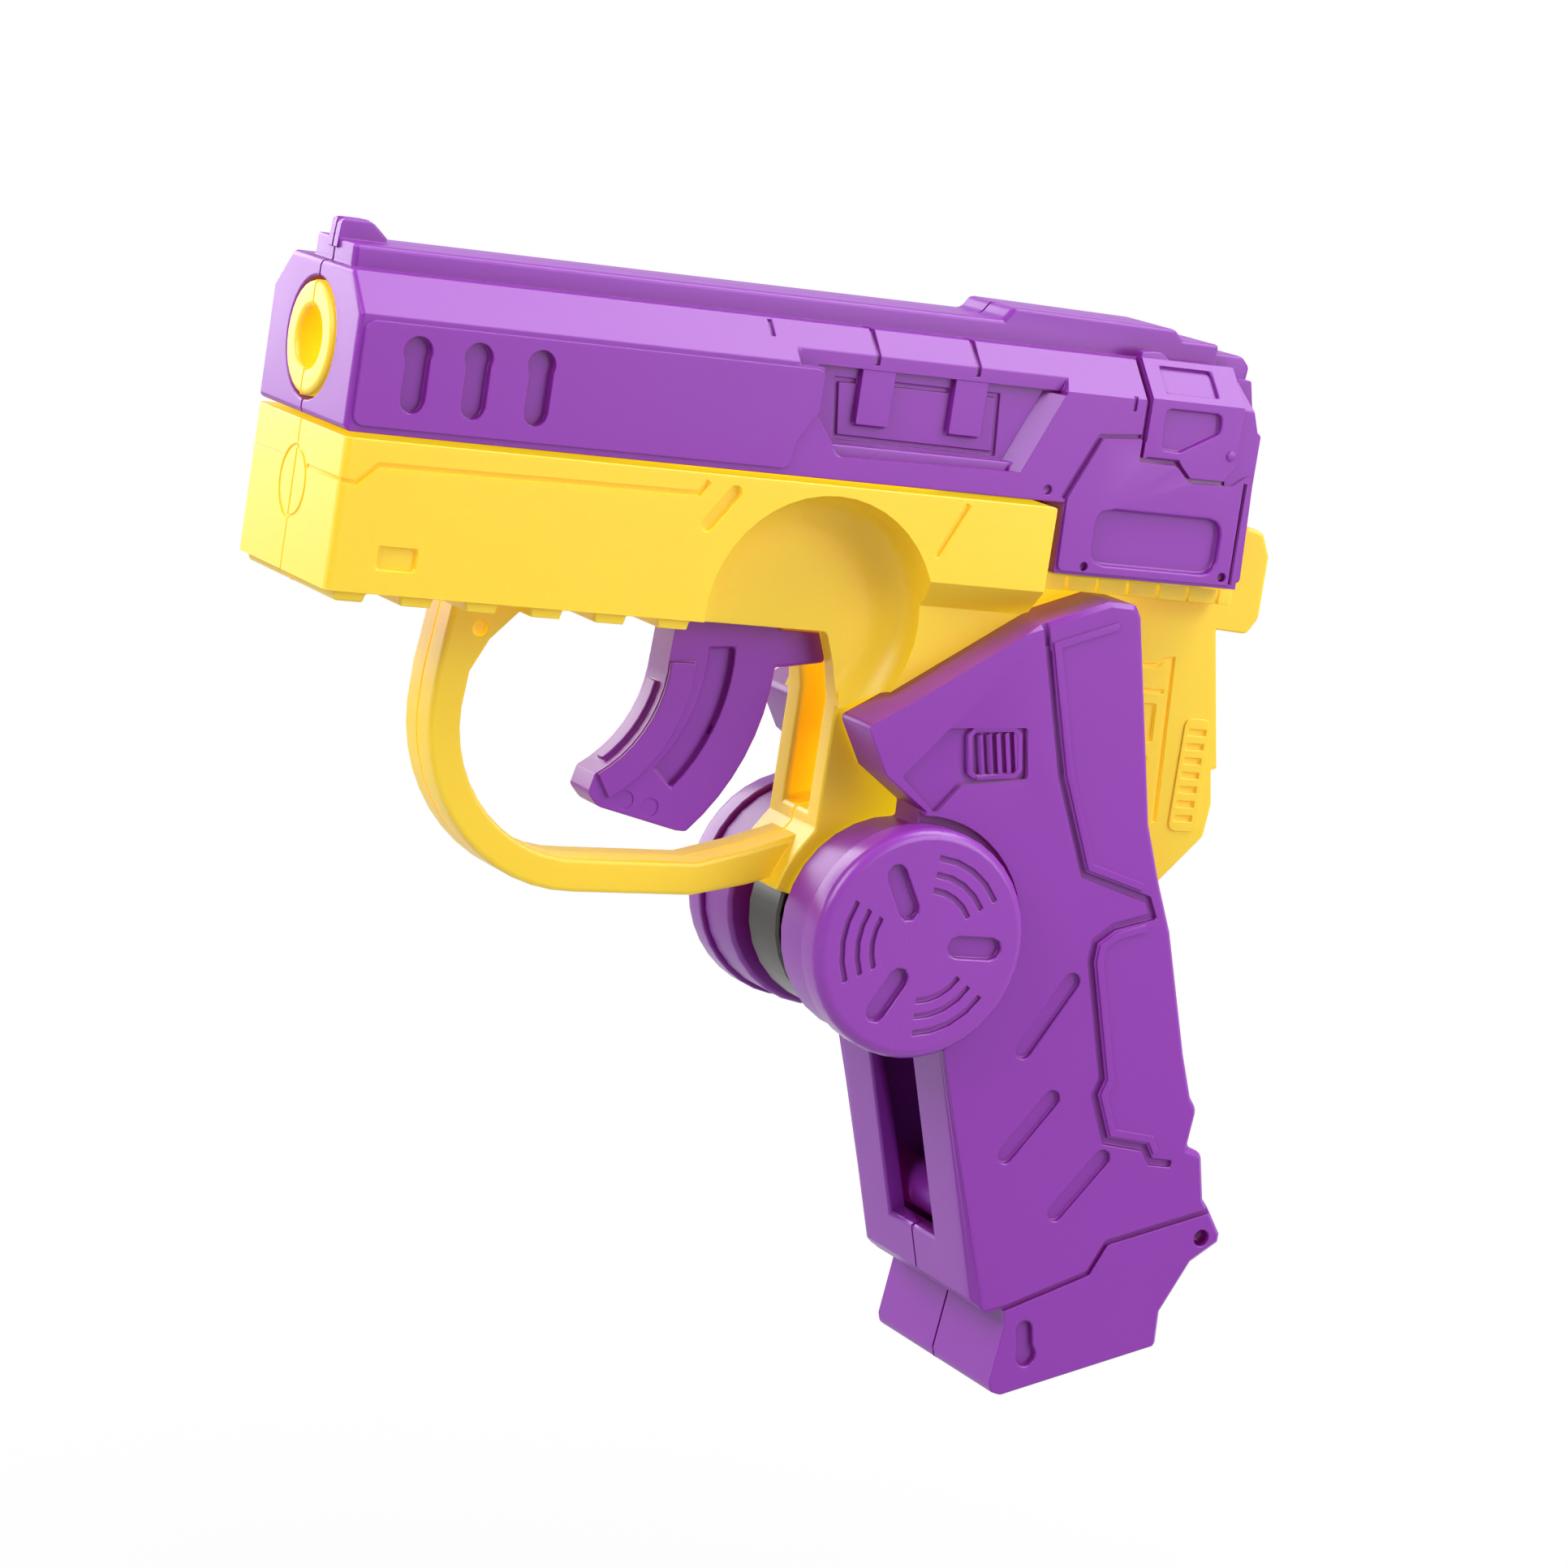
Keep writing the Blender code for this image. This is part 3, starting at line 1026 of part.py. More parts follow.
def grip_half(name, side):
    """One half of the grip: hollow handle with an ear and a hinge lug."""
    half = GRIP_WIDTH / 2
    front = GRIP_FRONT
    back = GRIP_BACK
    foot = -GRIP_REACH
    wall = GRIP_WALL
    inner = half - wall
    made = plate(name, grip_outline(), HALF, half, side, parts, PURPLE, Matrix())
    soften(made, GRIP_CORNER, 4, grip_corner(half))
    soften(made, 0.0005, 1, grip_rim(half))
    settle(made.data, LEAN)
    cavity = [(front + wall, foot + 0.0118), (front + wall, -0.0142)]
    cavity += arc(0, 0, 0.0142, -64, 52, 10)
    cavity += [(front + 0.0062, 0.0185), (front + 0.0062, EAR_TOP - 0.0062)]
    cavity += [(back + x, EAR_TOP + z) for x, z in mm((-11.6, -2.6), (-3.4, -2.1), (-1.6, -3.6))]
    cavity += [(back - 0.0033, 0.0052), (back - 0.0028, -0.0017), (back - wall, -0.0075)]
    cavity += [(back - wall, foot + 0.0272), (back - 0.0030, foot + 0.0216), (back - wall, foot + 0.0140)]
    cavity += [(back - 0.0032, foot + 0.0098), (back - 0.0084, foot + 0.0045), (back - 0.0090, foot + wall)]
    cavity += [(front + 0.0056, foot + wall), (front + 0.0056, foot + 0.0118)]
    cut(made, plate(name + "_cavity", cavity, -0.001, inner, side, stand=LEAN))
    boss(made, side, GRIP_SCREWS, inner, LEAN)
    gap = [(-0.03, 0.06), (-0.03, -0.0150), (back - wall, -0.0150), (back - wall, -0.0075)]
    gap += [(0.06, -0.0075), (0.06, 0.06)]
    cut(made, plate(name + "_tail_gap", gap, -0.001, EAR_INNER, side, stand=LEAN))
    through = (-0.001, front + wall + 0.001)
    height = (-WINDOW_BOTTOM, -0.0145)
    cut(made, box(name + "_window", through, (-0.001, WINDOW_WIDTH / 2), height, side, LEAN))
    cut(made, pin(name + "_cap_pocket", 0, 0, POCKET_RADIUS, LUG_FACE, half + 0.003, side, LEAN, 48))
    hinge = SPACER_DIAMETER / 2 + RUN
    cut(made, pin(name + "_hinge_bore", 0, 0, hinge, 0.001, half + 0.003, side, LEAN, 28))
    recess = mm((7.6, 21.6), (16.8, 19.4), (16.1, 13.8), (8.2, 15.1), (4.7, 12.8), (1.3, 17.8))
    floor = half - RIB_RECESS_DEPTH
    recess = rounded(recess, 0.0004, 2)
    marks = [plate(name + "_rib_recess", recess, floor, half + 0.002, side, stand=LEAN)]
    panel = mm((20.3, 27.6), (20.1, 13.2), (21.5, 1.7), (29.0, -3.0), (29.4, -5.1), (24.6, -5.0))
    panel += mm((22.0, -6.0), (21.2, -8.2), (21.0, -21.6), (19.9, -23.1), (20.6, -28.7))
    panel += mm((25.3, -30.8), (25.8, -32.6), (28.4, -33.6))
    trench = band(panel, PANEL_GROOVE)
    depth = half - PANEL_GROOVE_DEPTH
    marks.append(plate(name + "_panel_groove", trench, depth, half + 0.002, side, stand=LEAN))
    tops = mm((18.7, -9.8), (14.7, -22.2), (20.0, -30.6))
    feet = mm((12.0, -15.8), (8.4, -26.9), (13.6, -35.1))
    for i, (a, b) in enumerate(zip(tops, feet)):
        outline = obround(a, b, 0.0020)
        marks.append(plate(f"{name}_slot_{i}", outline, half - 0.0006, half + 0.002, side, stand=LEAN))
    seam = band(mm((1.0, -43.9), (6.4, -44.1), (16.7, -43.1), (19.4, -40.3), (36.0, -40.3)), 0.0007)
    marks.append(plate(name + "_base_seam", seam, half - 0.0005, half + 0.002, side, stand=LEAN))
    cut(made, merged(name + "_marks", marks))
    ribs = []
    for i in range(5):
        x = 0.0106 + i * RIB_PITCH
        outline = [(x, 0.0157 - i * 0.0002), (x + 0.0005, 0.0157 - i * 0.0002)]
        outline += [(x + 0.0008, 0.0200 - i * 0.0002), (x + 0.0003, 0.0200 - i * 0.0002)]
        ribs.append(plate(f"{name}_rib_{i}", outline, floor - 0.0003, half - 0.0001, side, stand=LEAN))
    join(made, merged(name + "_ribs", ribs))
    bore(made, side, GRIP_SCREWS, GRIP_HEAD_FACE, inner, LEAN)
    smooth(made)
    return made


for SIDE, LABEL in ((-1, "left"), (1, "right")):
    slide_half(f"slide_{LABEL}", SIDE)
    frame_half(f"frame_{LABEL}", SIDE)
    grip_half(f"grip_{LABEL}", SIDE)
trigger()
spring(
    "recoil_spring",
    BULKHEAD + 0.0018,
    PEDESTAL - RUN,
    BARREL_HEIGHT,
    TUBE_DIAMETER / 2 + 0.0010,
    RECOIL_WIRE,
    RECOIL_TURNS,
)
spring(
    "trigger_spring",
    TONGUE_END + RUN,
    POST_BACK + CHANNEL_DEPTH - RUN,
    TRIGGER_SPRING_HEIGHT,
    (TRIGGER_SPRING_DIAMETER - TRIGGER_WIRE) / 2,
    TRIGGER_WIRE,
    TRIGGER_TURNS,
)
bearing()
spinner()
screw_set("slide_screw", SLIDE_SCREWS, SLIDE_SCREW_LENGTH, SLIDE_HEAD_FACE)
screw_set("frame_screw", FRAME_SCREWS, FRAME_SCREW_LENGTH, FRAME_HEAD_FACE)
screw_set("tail_screw", TAIL_SCREWS, TAIL_SCREW_LENGTH, TAIL_HEAD_FACE)
screw_set("grip_screw", GRIP_SCREWS, GRIP_SCREW_LENGTH, GRIP_HEAD_FACE, LEAN)
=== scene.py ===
"""Looks of a folding toy pistol whose hinge is a ball-bearing finger spinner.

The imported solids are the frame. Each moulded half gets a shell with rounded
edges and its fine moulded lines, the hub gets its metal and rubber, and the
small steel parts get their drive recesses and smooth coils. Outlines, depths
and radii are in millimetres, and roundings and finished places in metres.
"""

from __future__ import annotations

import json
import logging
import math
from contextlib import contextmanager
from dataclasses import dataclass, replace
from enum import Enum
from functools import cache
from typing import Iterator, Sequence

import bpy
import numpy as np
from mathutils import Matrix, Vector


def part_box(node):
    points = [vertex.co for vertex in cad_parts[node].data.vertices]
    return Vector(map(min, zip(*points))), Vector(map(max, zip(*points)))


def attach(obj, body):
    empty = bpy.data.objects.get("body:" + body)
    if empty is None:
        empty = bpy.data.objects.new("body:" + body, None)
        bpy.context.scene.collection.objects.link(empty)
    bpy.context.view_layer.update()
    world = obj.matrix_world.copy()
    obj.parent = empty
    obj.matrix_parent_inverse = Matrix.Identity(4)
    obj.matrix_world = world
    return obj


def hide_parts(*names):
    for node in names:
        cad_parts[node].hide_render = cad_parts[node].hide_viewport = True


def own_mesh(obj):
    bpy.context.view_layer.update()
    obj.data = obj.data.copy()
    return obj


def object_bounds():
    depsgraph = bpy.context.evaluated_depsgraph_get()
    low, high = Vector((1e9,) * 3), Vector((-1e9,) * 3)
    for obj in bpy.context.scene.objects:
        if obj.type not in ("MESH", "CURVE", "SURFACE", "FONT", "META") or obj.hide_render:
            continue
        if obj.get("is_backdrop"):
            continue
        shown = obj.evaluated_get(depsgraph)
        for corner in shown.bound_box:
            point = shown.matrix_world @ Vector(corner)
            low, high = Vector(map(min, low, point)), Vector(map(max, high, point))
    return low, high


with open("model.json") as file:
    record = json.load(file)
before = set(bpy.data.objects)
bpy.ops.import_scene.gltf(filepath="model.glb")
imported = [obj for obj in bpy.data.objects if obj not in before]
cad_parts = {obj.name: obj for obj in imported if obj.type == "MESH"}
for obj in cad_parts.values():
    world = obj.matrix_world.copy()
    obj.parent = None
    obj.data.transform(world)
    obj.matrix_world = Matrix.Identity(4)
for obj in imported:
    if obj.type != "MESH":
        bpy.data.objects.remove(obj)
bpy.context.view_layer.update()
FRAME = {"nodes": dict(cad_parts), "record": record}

logging.basicConfig(level=logging.INFO, format="%(name)s: %(message)s")
LOG = logging.getLogger("toy_pistol")

Point = tuple[float, float]
Points = Sequence[Point]
Line = tuple[Point, ...]
Triple = tuple[float, float, float]
Colour = Triple
Piece = bpy.types.Object
Edge = bpy.types.MeshEdge
Socket = bpy.types.NodeSocket

MM = 0.001
MUZZLE_TO_AXLE = 71.8
UNDERSIDE_TO_AXLE = 47.6
GRIP_LEAN = math.radians(17.5)

# Points closer than WELD are one, and faces that differ by less than FLAT are one.
WELD = 2e-6
FLAT = math.radians(0.3)
# Edges that turn by more than SHARP are rounded. A run of them turns by less than GENTLE.
SHARP = math.radians(30)
GENTLE = math.radians(50)
# Edges this close to the mid-plane are the parting line, which stays fine.
SEAM_HALF = 0.0003
SEAM_ROUNDING = 0.00005
# What is left of a rounding after each try in which a face crossed itself nearby, and how many
# of the widest roundings count as near.
BACK_OFF = (0.45, 0.45, 0.3, 0.0, 0.0, 0.0, 0.0)
BACK_OFF_REACH = 2.0
# Limits below which a corner is on a line, a triangle is empty, two edges are
# parallel, and a crossing is only a shared corner.
ON_LINE = 1e-5
EMPTY_AREA = 1e-9
PARALLEL = 1e-14
SHARED_END = 1e-4
# A distance that no two points of the toy have.
FAR_OFF = 1.0
# How far a cutter stands out of the face that it cuts.
CLEAR = 1.0
# Least share of a strip's width that is left for the mitre at a sharp corner.
SHARPEST_MITRE = 0.5
# How strongly large faces bend the shading of the roundings beside them.
FLAT_WEIGHT = 60


class Side(Enum):
    """The two halves of a moulding, by the sign of their Y."""

    LEFT = -1
    RIGHT = 1


class Cut(Enum):
    """What a tool does to a piece."""

    AWAY = "DIFFERENCE"
    JOIN = "UNION"


class Run(Enum):
    """The axis that a flat outline is run along."""

    ACROSS = "Y"
    FORE_AND_AFT = "X"


def side_outline(points: Points) -> list[Point]:
    """Places in metres of points measured from the muzzle face and the slide's underside."""
    return [((x - MUZZLE_TO_AXLE) * MM, (z + UNDERSIDE_TO_AXLE) * MM) for x, z in points]


def grip_outline(points: Points) -> list[Point]:
    """Places in metres of points measured from the axle, square to the grip's lean and along it."""
    c, s = math.cos(GRIP_LEAN), math.sin(GRIP_LEAN)
    return [((x * c - z * s) * MM, (x * s + z * c) * MM) for x, z in points]


def ring(centre: Point, radius: float, count: int = 20) -> list[Point]:
    """Points round a circle, in the units of its centre."""
    turns = [i * 2 * math.pi / count for i in range(count)]
    return [(centre[0] + radius * math.cos(a), centre[1] + radius * math.sin(a)) for a in turns]


def strip(points: Points, width: float) -> list[Point]:
    """Outline of a line of even width.

    Args:
        points: The line's corners.
        width: Its width, in the same units.

    Returns:
        The outline, down one side and back along the other.
    """
    left, right = [], []
    for i, corner in enumerate(points):
        here = Vector(corner)
        legs = []
        if i > 0:
            legs.append((here - Vector(points[i - 1])).normalized())
        if i < len(points) - 1:
            legs.append((Vector(points[i + 1]) - here).normalized())
        along = sum(legs, Vector((0, 0))).normalized()
        mitre = max(SHARPEST_MITRE, along.dot(legs[0]))
        across = Vector((-along.y, along.x)) * (width / 2 / mitre)
        left.append(tuple(here + across))
        right.append(tuple(here - across))
    return left + right[::-1]


def beside(points: Points, offset: float) -> list[Point]:
    """A line's corners moved by an offset to the left of its heading."""
    return strip(points, 2 * offset)[: len(points)]


def slot_ends(start: Point, end: Point, width: float, steps: int = 7) -> list[Point]:
    """Outline of a slot with round ends.

    Args:
        start: Centre of its first end.
        end: Centre of its second end.
        width: Its width.
        steps: Edges on each round end.

    Returns:
        The outline.
    """
    heading = math.atan2(end[1] - start[1], end[0] - start[0])
    points = []
    for (x, z), begin in ((end, heading - math.pi / 2), (start, heading + math.pi / 2)):
        for i in range(steps + 1):
            angle = begin + math.pi * i / steps
            points.append((x + width / 2 * math.cos(angle), z + width / 2 * math.sin(angle)))
    return points


def arc_band(centre: Point, radii: Point, angles: Point, steps: int = 10) -> list[Point]:
    """Outline of a strip that follows an arc.

    Args:
        centre: The arc's centre.
        radii: Inner and outer radius.
        angles: First and last angle in degrees.
        steps: Corners along each side.

    Returns:
        The outline.
    """
    x, z = centre
    turns = [math.radians(a) for a in np.linspace(*angles, steps)]
    sides = ((radii[0], turns), (radii[1], turns[::-1]))
    return [(x + r * math.cos(a), z + r * math.sin(a)) for r, side in sides for a in side]


def focus(piece: Piece) -> None:
    """Selects one object alone and makes it active."""
    bpy.ops.object.select_all(action="DESELECT")
    piece.select_set(True)
    bpy.context.view_layer.objects.active = piece


@contextmanager
def editing() -> Iterator[None]:
    """Opens the active mesh with all of it selected, and turns its faces outward at the end."""
    bpy.ops.object.mode_set(mode="EDIT")
    bpy.ops.mesh.select_all(action="SELECT")
    yield
    bpy.ops.mesh.select_all(action="SELECT")
    bpy.ops.mesh.normals_make_consistent(inside=False)
    bpy.ops.object.mode_set(mode="OBJECT")


def stand(name: str, data: bpy.types.ID) -> Piece:
    """New object of some data, linked into the scene."""
    piece = bpy.data.objects.new(name, data)
    bpy.context.scene.collection.objects.link(piece)
    return piece


def shell(node: str, name: str) -> Piece:
    """Copy of a CAD node, merged into flat faces.

    Args:
        node: The node that is copied.
        name: The new piece's name.

    Returns:
        The copy, with no material.
    """
    piece = stand(name, FRAME["nodes"][node].data.copy())
    piece.data.materials.clear()
    flatten(piece)
    return piece


def flatten(piece: Piece) -> None:
    """Merges doubled points and the splits inside flat faces."""
    focus(piece)
    with editing():
        bpy.ops.mesh.remove_doubles(threshold=WELD)
        bpy.ops.mesh.dissolve_limited(angle_limit=FLAT)


def apply(piece: Piece, kind: str, **settings: object) -> None:
    """Adds a modifier with these settings and applies it."""
    focus(piece)
    step = piece.modifiers.new(kind.title(), kind)
    for key, value in settings.items():
        setattr(step, key, value)
    bpy.ops.object.modifier_apply(modifier=step.name)


def prism(outline: Points, low: float, high: float, run: Run, lean: float = 0.0) -> Piece:
    """Solid of a flat outline, drawn from a circle's points and extruded.

    Args:
        outline: Corners in metres, X and Z for a run across and Y and Z for one fore and aft.
        low: Where the run starts, in metres.
        high: Where it ends.
        run: The axis of the run.
        lean: How far a run across leans fore or aft.

    Returns:
        The closed solid.
    """
    bpy.ops.mesh.primitive_circle_add(vertices=len(outline), fill_type="NGON")
    piece = bpy.context.object
    across = run is Run.ACROSS
    for vertex, (u, z) in zip(piece.data.vertices, outline):
        vertex.co = (u, low, z) if across else (low, u, z)
    step = (lean, high - low, 0) if across else (high - low, 0, 0)
    with editing():
        bpy.ops.mesh.extrude_region_move(TRANSFORM_OT_translate={"value": step})
    return piece


def slab(outline: Points, near: float, far: float, side: Side) -> Piece:
    """Solid of an outline between two distances in millimetres from the mid-plane."""
    low, high = sorted((side.value * near * MM, side.value * far * MM))
    return prism(outline, low, high, Run.ACROSS)


def combine(piece: Piece, tools: Sequence[Piece], how: Cut) -> None:
    """Cuts tools out of a piece or joins them to it, and removes the tools.

    Args:
        piece: The piece that is worked.
        tools: Closed solids.
        how: Whether they are cut away or joined.
    """
    focus(tools[0])
    for other in tools[1:]:
        other.select_set(True)
    if len(tools) > 1:
        bpy.ops.object.join()
    tool = bpy.context.object
    settings = {"object": tool, "operation": how.value, "solver": "EXACT", "use_self": True}
    apply(piece, "BOOLEAN", **settings)
    bpy.data.objects.remove(tool, do_unlink=True)


def sharp_chains(mesh: bpy.types.Mesh) -> list[list[Edge]]:
    """Sharp edges of a mesh, grouped into runs that turn gently.

    Args:
        mesh: A closed mesh.

    Returns:
        The runs, each a list of edges.
    """
    normals: dict[tuple[int, int], list[Vector]] = {}
    for face in mesh.polygons:
        for key in face.edge_keys:
            normals.setdefault(key, []).append(face.normal)
    sharp = []
    for edge in mesh.edges:
        sides = normals.get(edge.key, [])
        if len(sides) == 2 and sides[0].angle(sides[1], 0.0) > SHARP:
            sharp.append(edge)
    meeting: dict[int, list[int]] = {}
    for i, edge in enumerate(sharp):
        for end in edge.vertices:
            meeting.setdefault(end, []).append(i)
    leader = list(range(len(sharp)))

    def head(i: int) -> int:
        """First edge of the run that an edge is in."""
        while leader[i] != i:
            i = leader[i]
        return i

    for end, joined in meeting.items():
        place = mesh.vertices[end].co
        rays = []
        for i in joined:
            first, last = sharp[i].vertices
            rays.append(mesh.vertices[last if first == end else first].co - place)
        for m in range(len(joined)):
            for n in range(m):
                if math.pi - rays[m].angle(rays[n], 0.0) < GENTLE:
                    leader[head(joined[m])] = head(joined[n])
    runs: dict[int, list[Edge]] = {}
    for i, edge in enumerate(sharp):
        runs.setdefault(head(i), []).append(edge)
    return list(runs.values())


def gaps(edge: Edge, places: np.ndarray, spots: np.ndarray) -> tuple[np.ndarray, np.ndarray]:
    """Distances of spots from an edge.

    Args:
        edge: The edge.
        places: Places of all corners.
        spots: Places of the spots.

    Returns:
        Their distances from its endless line, and from the edge itself.
    """
    start, end = (places[i] for i in edge.vertices)
    heading, rays = end - start, spots - start
    along = rays @ heading / (heading @ heading)
    shares = (along, np.clip(along, 0.0, 1.0))
    return tuple(np.linalg.norm(rays - t[:, None] * heading, axis=1) for t in shares)


def room(run: Sequence[Edge], places: np.ndarray) -> float:
    """Distance from a run of edges to the nearest corner that is not on it.

    Args:
        run: Edges of one run.
        places: Places of all corners.

    Returns:
        The distance in metres.
    """
    own = list({i for edge in run for i in edge.vertices})
    least = FAR_OFF
    for edge in run:
        off_line, gap = gaps(edge, places, places)
        gap[off_line < ON_LINE] = FAR_OFF
        gap[own] = FAR_OFF
        least = min(least, float(gap.min()))
    return least


def cross(first: np.ndarray, second: np.ndarray) -> np.ndarray:
    """Cross products of flat vectors."""
    return first[..., 0] * second[..., 1] - first[..., 1] * second[..., 0]


def crossings(mesh: bpy.types.Mesh) -> list[np.ndarray]:
    """Places where the outline of a face crosses itself.

    Args:
        mesh: A rounded mesh.

    Returns:
        The places, none if every face is sound.
    """
    mesh.calc_loop_triangles()
    folded = set()
    for part in mesh.loop_triangles:
        face = mesh.polygons[part.polygon_index]
        if part.area > EMPTY_AREA and part.normal.dot(face.normal) < 0.0:
            folded.add(part.polygon_index)
    found = []
    for index in folded:
        face = mesh.polygons[index]
        drop = int(np.argmax(np.abs(face.normal)))
        keep = [k for k in range(3) if k != drop]
        places = np.array([mesh.vertices[i].co for i in face.vertices])
        start = places[:, keep]
        step = np.roll(start, -1, axis=0) - start
        apart = start[None] - start[:, None]
        mine, other = step[:, None], step[None]
        slant = cross(mine, other)
        slant = np.where(np.abs(slant) < PARALLEL, np.inf, slant)
        here, there = cross(apart, other) / slant, cross(apart, mine) / slant
        inner, outer = np.minimum(here, there), np.maximum(here, there)
        hits = np.nonzero((inner > SHARED_END) & (outer < 1 - SHARED_END))
        edges = np.roll(places, -1, axis=0) - places
        crossed = [places[i] + here[i, j] * edges[i] for i, j in zip(*hits)]
        found.extend(crossed if crossed else places)
    return found


def round_edges(piece: Piece, width: float, segments: int = 2, share: float = 0.3) -> None:
    """Rounds the sharp edges, each run as far as its surroundings leave room.

    Where a face would cross itself, the runs beside it are rounded less.

    Args:
        piece: The piece to finish.
        width: Widest rounding in metres.
        segments: Faces across the rounding.
        share: Part of the way to the nearest other corner that a rounding may take.
    """
    blank = piece.data
    places = np.array([vertex.co for vertex in blank.vertices])
    runs = sharp_chains(blank)
    reach = []
    for run in runs:
        on_seam = max(abs(places[i, 1]) for edge in run for i in edge.vertices) < SEAM_HALF
        widest = SEAM_ROUNDING if on_seam else width
        reach.append(min(widest, share * room(run, places)))
    rounding = {"width": width, "segments": segments, "limit_method": "WEIGHT"}
    for less in BACK_OFF:
        piece.data = blank.copy()
        weights = piece.data.attributes.new("bevel_weight_edge", "FLOAT", "EDGE")
        for run, wide in zip(runs, reach):
            for edge in run:
                weights.data[edge.index].value = wide / width
        apply(piece, "BEVEL", use_clamp_overlap=False, **rounding)
        crossed = crossings(piece.data)
        if not crossed:
            break
        spots = np.array(crossed)
        for i, run in enumerate(runs):
            if min(gaps(edge, places, spots)[1].min() for edge in run) < BACK_OFF_REACH * width:
                reach[i] *= less
    LOG.info("%s rounded, %d places crossed", piece.name, len(crossed))
    even(piece)


def even(piece: Piece, angle: float = 50.0) -> None:
    """Smooths the roundings and keeps the flats flat."""
    focus(piece)
    bpy.ops.object.shade_smooth_by_angle(angle=math.radians(angle))
    apply(piece, "WEIGHTED_NORMAL", keep_sharp=True, weight=FLAT_WEIGHT)


@dataclass
class Graph:
    """Short ways to add nodes to a tree."""

    tree: bpy.types.NodeTree

    @classmethod
    def material(cls, name: str) -> tuple[bpy.types.Material, Graph]:
        """New material and the graph of its nodes."""
        made = bpy.data.materials.new(name)
        made.use_nodes = True
        return made, cls(made.node_tree)

    def feed(self, node: bpy.types.Node, feeds: dict[str | int, object]) -> None:
        """Sets a node's inputs.

        Args:
            node: The node.
            feeds: By input, the value that it holds or the socket that it is linked to.
        """
        for key, value in feeds.items():
            if isinstance(value, Socket):
                self.tree.links.new(value, node.inputs[key])
            else:
                node.inputs[key].default_value = value

    def add(self, kind: str, feeds: dict[str | int, object], **settings: object) -> bpy.types.Node:
        """Adds a node.

        Args:
            kind: Its type.
            feeds: Its inputs, as for feed.
            settings: Its own options.

        Returns:
            The node.
        """
        node = self.tree.nodes.new(kind)
        for key, value in settings.items():
            setattr(node, key, value)
        self.feed(node, feeds)
        return node

    def maths(self, operation: str, *feeds: object) -> Socket:
        """Result of a sum on values or sockets."""
        return self.add("ShaderNodeMath", dict(enumerate(feeds)), operation=operation).outputs[0]

    def noise(self, **feeds: object) -> Socket:
        """Cloudy pattern in three dimensions."""
        return self.add("ShaderNodeTexNoise", feeds).outputs["Fac"]

    def length(self, vector: Socket) -> Socket:
        """Length of a vector."""
        node = self.add("ShaderNodeVectorMath", {0: vector}, operation="LENGTH")
        return node.outputs["Value"]

    def share(self, value: Socket, limits: Point, least: float = 0.0, **settings: str) -> Socket:
        """How far a value lies between two limits, from the least share to 1."""
        feeds = {"Value": value, "From Min": limits[0], "From Max": limits[1], "To Min": least}
        return self.add("ShaderNodeMapRange", feeds, **settings).outputs["Result"]

    def mix(self, factor: object, first: object, second: object) -> Socket:
        """Blend of two colours, each a socket or red, green and blue."""
        a, b = (c if isinstance(c, Socket) else (*c, 1.0) for c in (first, second))
        feeds = {"Factor": factor, "A": a, "B": b}
        return self.add("ShaderNodeMix", feeds, data_type="RGBA").outputs["Result"]

    def place(self) -> Socket:
        """Place on the object."""
        return self.add("ShaderNodeTexCoord", {}).outputs["Object"]


def new_group(name: str, inputs: dict[str, float], outputs: Sequence[str]) -> Graph:
    """New node group with number sockets.

    Args:
        name: Its name.
        inputs: Its inputs and their usual values.
        outputs: Its outputs.

    Returns:
        The graph of its nodes.
    """
    tree = bpy.data.node_groups.new(name, "ShaderNodeTree")
    new_socket = tree.interface.new_socket
    for label, usual in inputs.items():
        socket = new_socket(label, in_out="INPUT", socket_type="NodeSocketFloat")
        socket.default_value = usual
    for label in outputs:
        new_socket(label, in_out="OUTPUT", socket_type="NodeSocketFloat")
    return Graph(tree)


@cache
def moulded_surface() -> bpy.types.NodeTree:
    """Surface of a moulding: cloudy flow marks and fine grain.

    Returns:
        The group, with outputs Cloud, Rough and Height.
    """
    inputs = {"Grain Size": 2600.0, "Base Roughness": 0.4, "Variation": 0.08}
    graph = new_group("moulded_surface", inputs, ("Cloud", "Rough", "Height"))
    entry = graph.add("NodeGroupInput", {}).outputs
    place = graph.place()
    cloud = graph.noise(Vector=place, Scale=38.0, Detail=3.0)
    fine = graph.noise(Vector=place, Scale=entry["Grain Size"], Detail=2.0)
    swing = graph.maths("SUBTRACT", cloud, 0.5)
    feeds = (swing, entry["Variation"], entry["Base Roughness"])
    rough = graph.maths("MULTIPLY_ADD", *feeds)
    graph.add("NodeGroupOutput", {"Cloud": cloud, "Rough": rough, "Height": fine})
    return graph.tree


@cache
def turned_rings() -> bpy.types.NodeTree:
    """Rings that a lathe or grinder leaves round the hub's axis.

    Returns:
        The group, with outputs Ring and Rough.
    """
    inputs = {"Ring Pitch": 5200.0, "Base Roughness": 0.25}
    graph = new_group("turned_rings", inputs, ("Ring", "Rough"))
    entry = graph.add("NodeGroupInput", {}).outputs
    square_to_axis = {0: graph.place(), 1: (1.0, 0.0, 1.0)}
    flat = graph.add("ShaderNodeVectorMath", square_to_axis, operation="MULTIPLY")
    reach = graph.length(flat.outputs["Vector"])
    feeds = {"W": reach, "Scale": entry["Ring Pitch"], "Detail": 2.0}
    rings = graph.add("ShaderNodeTexNoise", feeds, noise_dimensions="1D").outputs["Fac"]
    rough = graph.maths("MULTIPLY_ADD", rings, 0.18, entry["Base Roughness"])
    graph.add("NodeGroupOutput", {"Ring": rings, "Rough": rough})
    return graph.tree


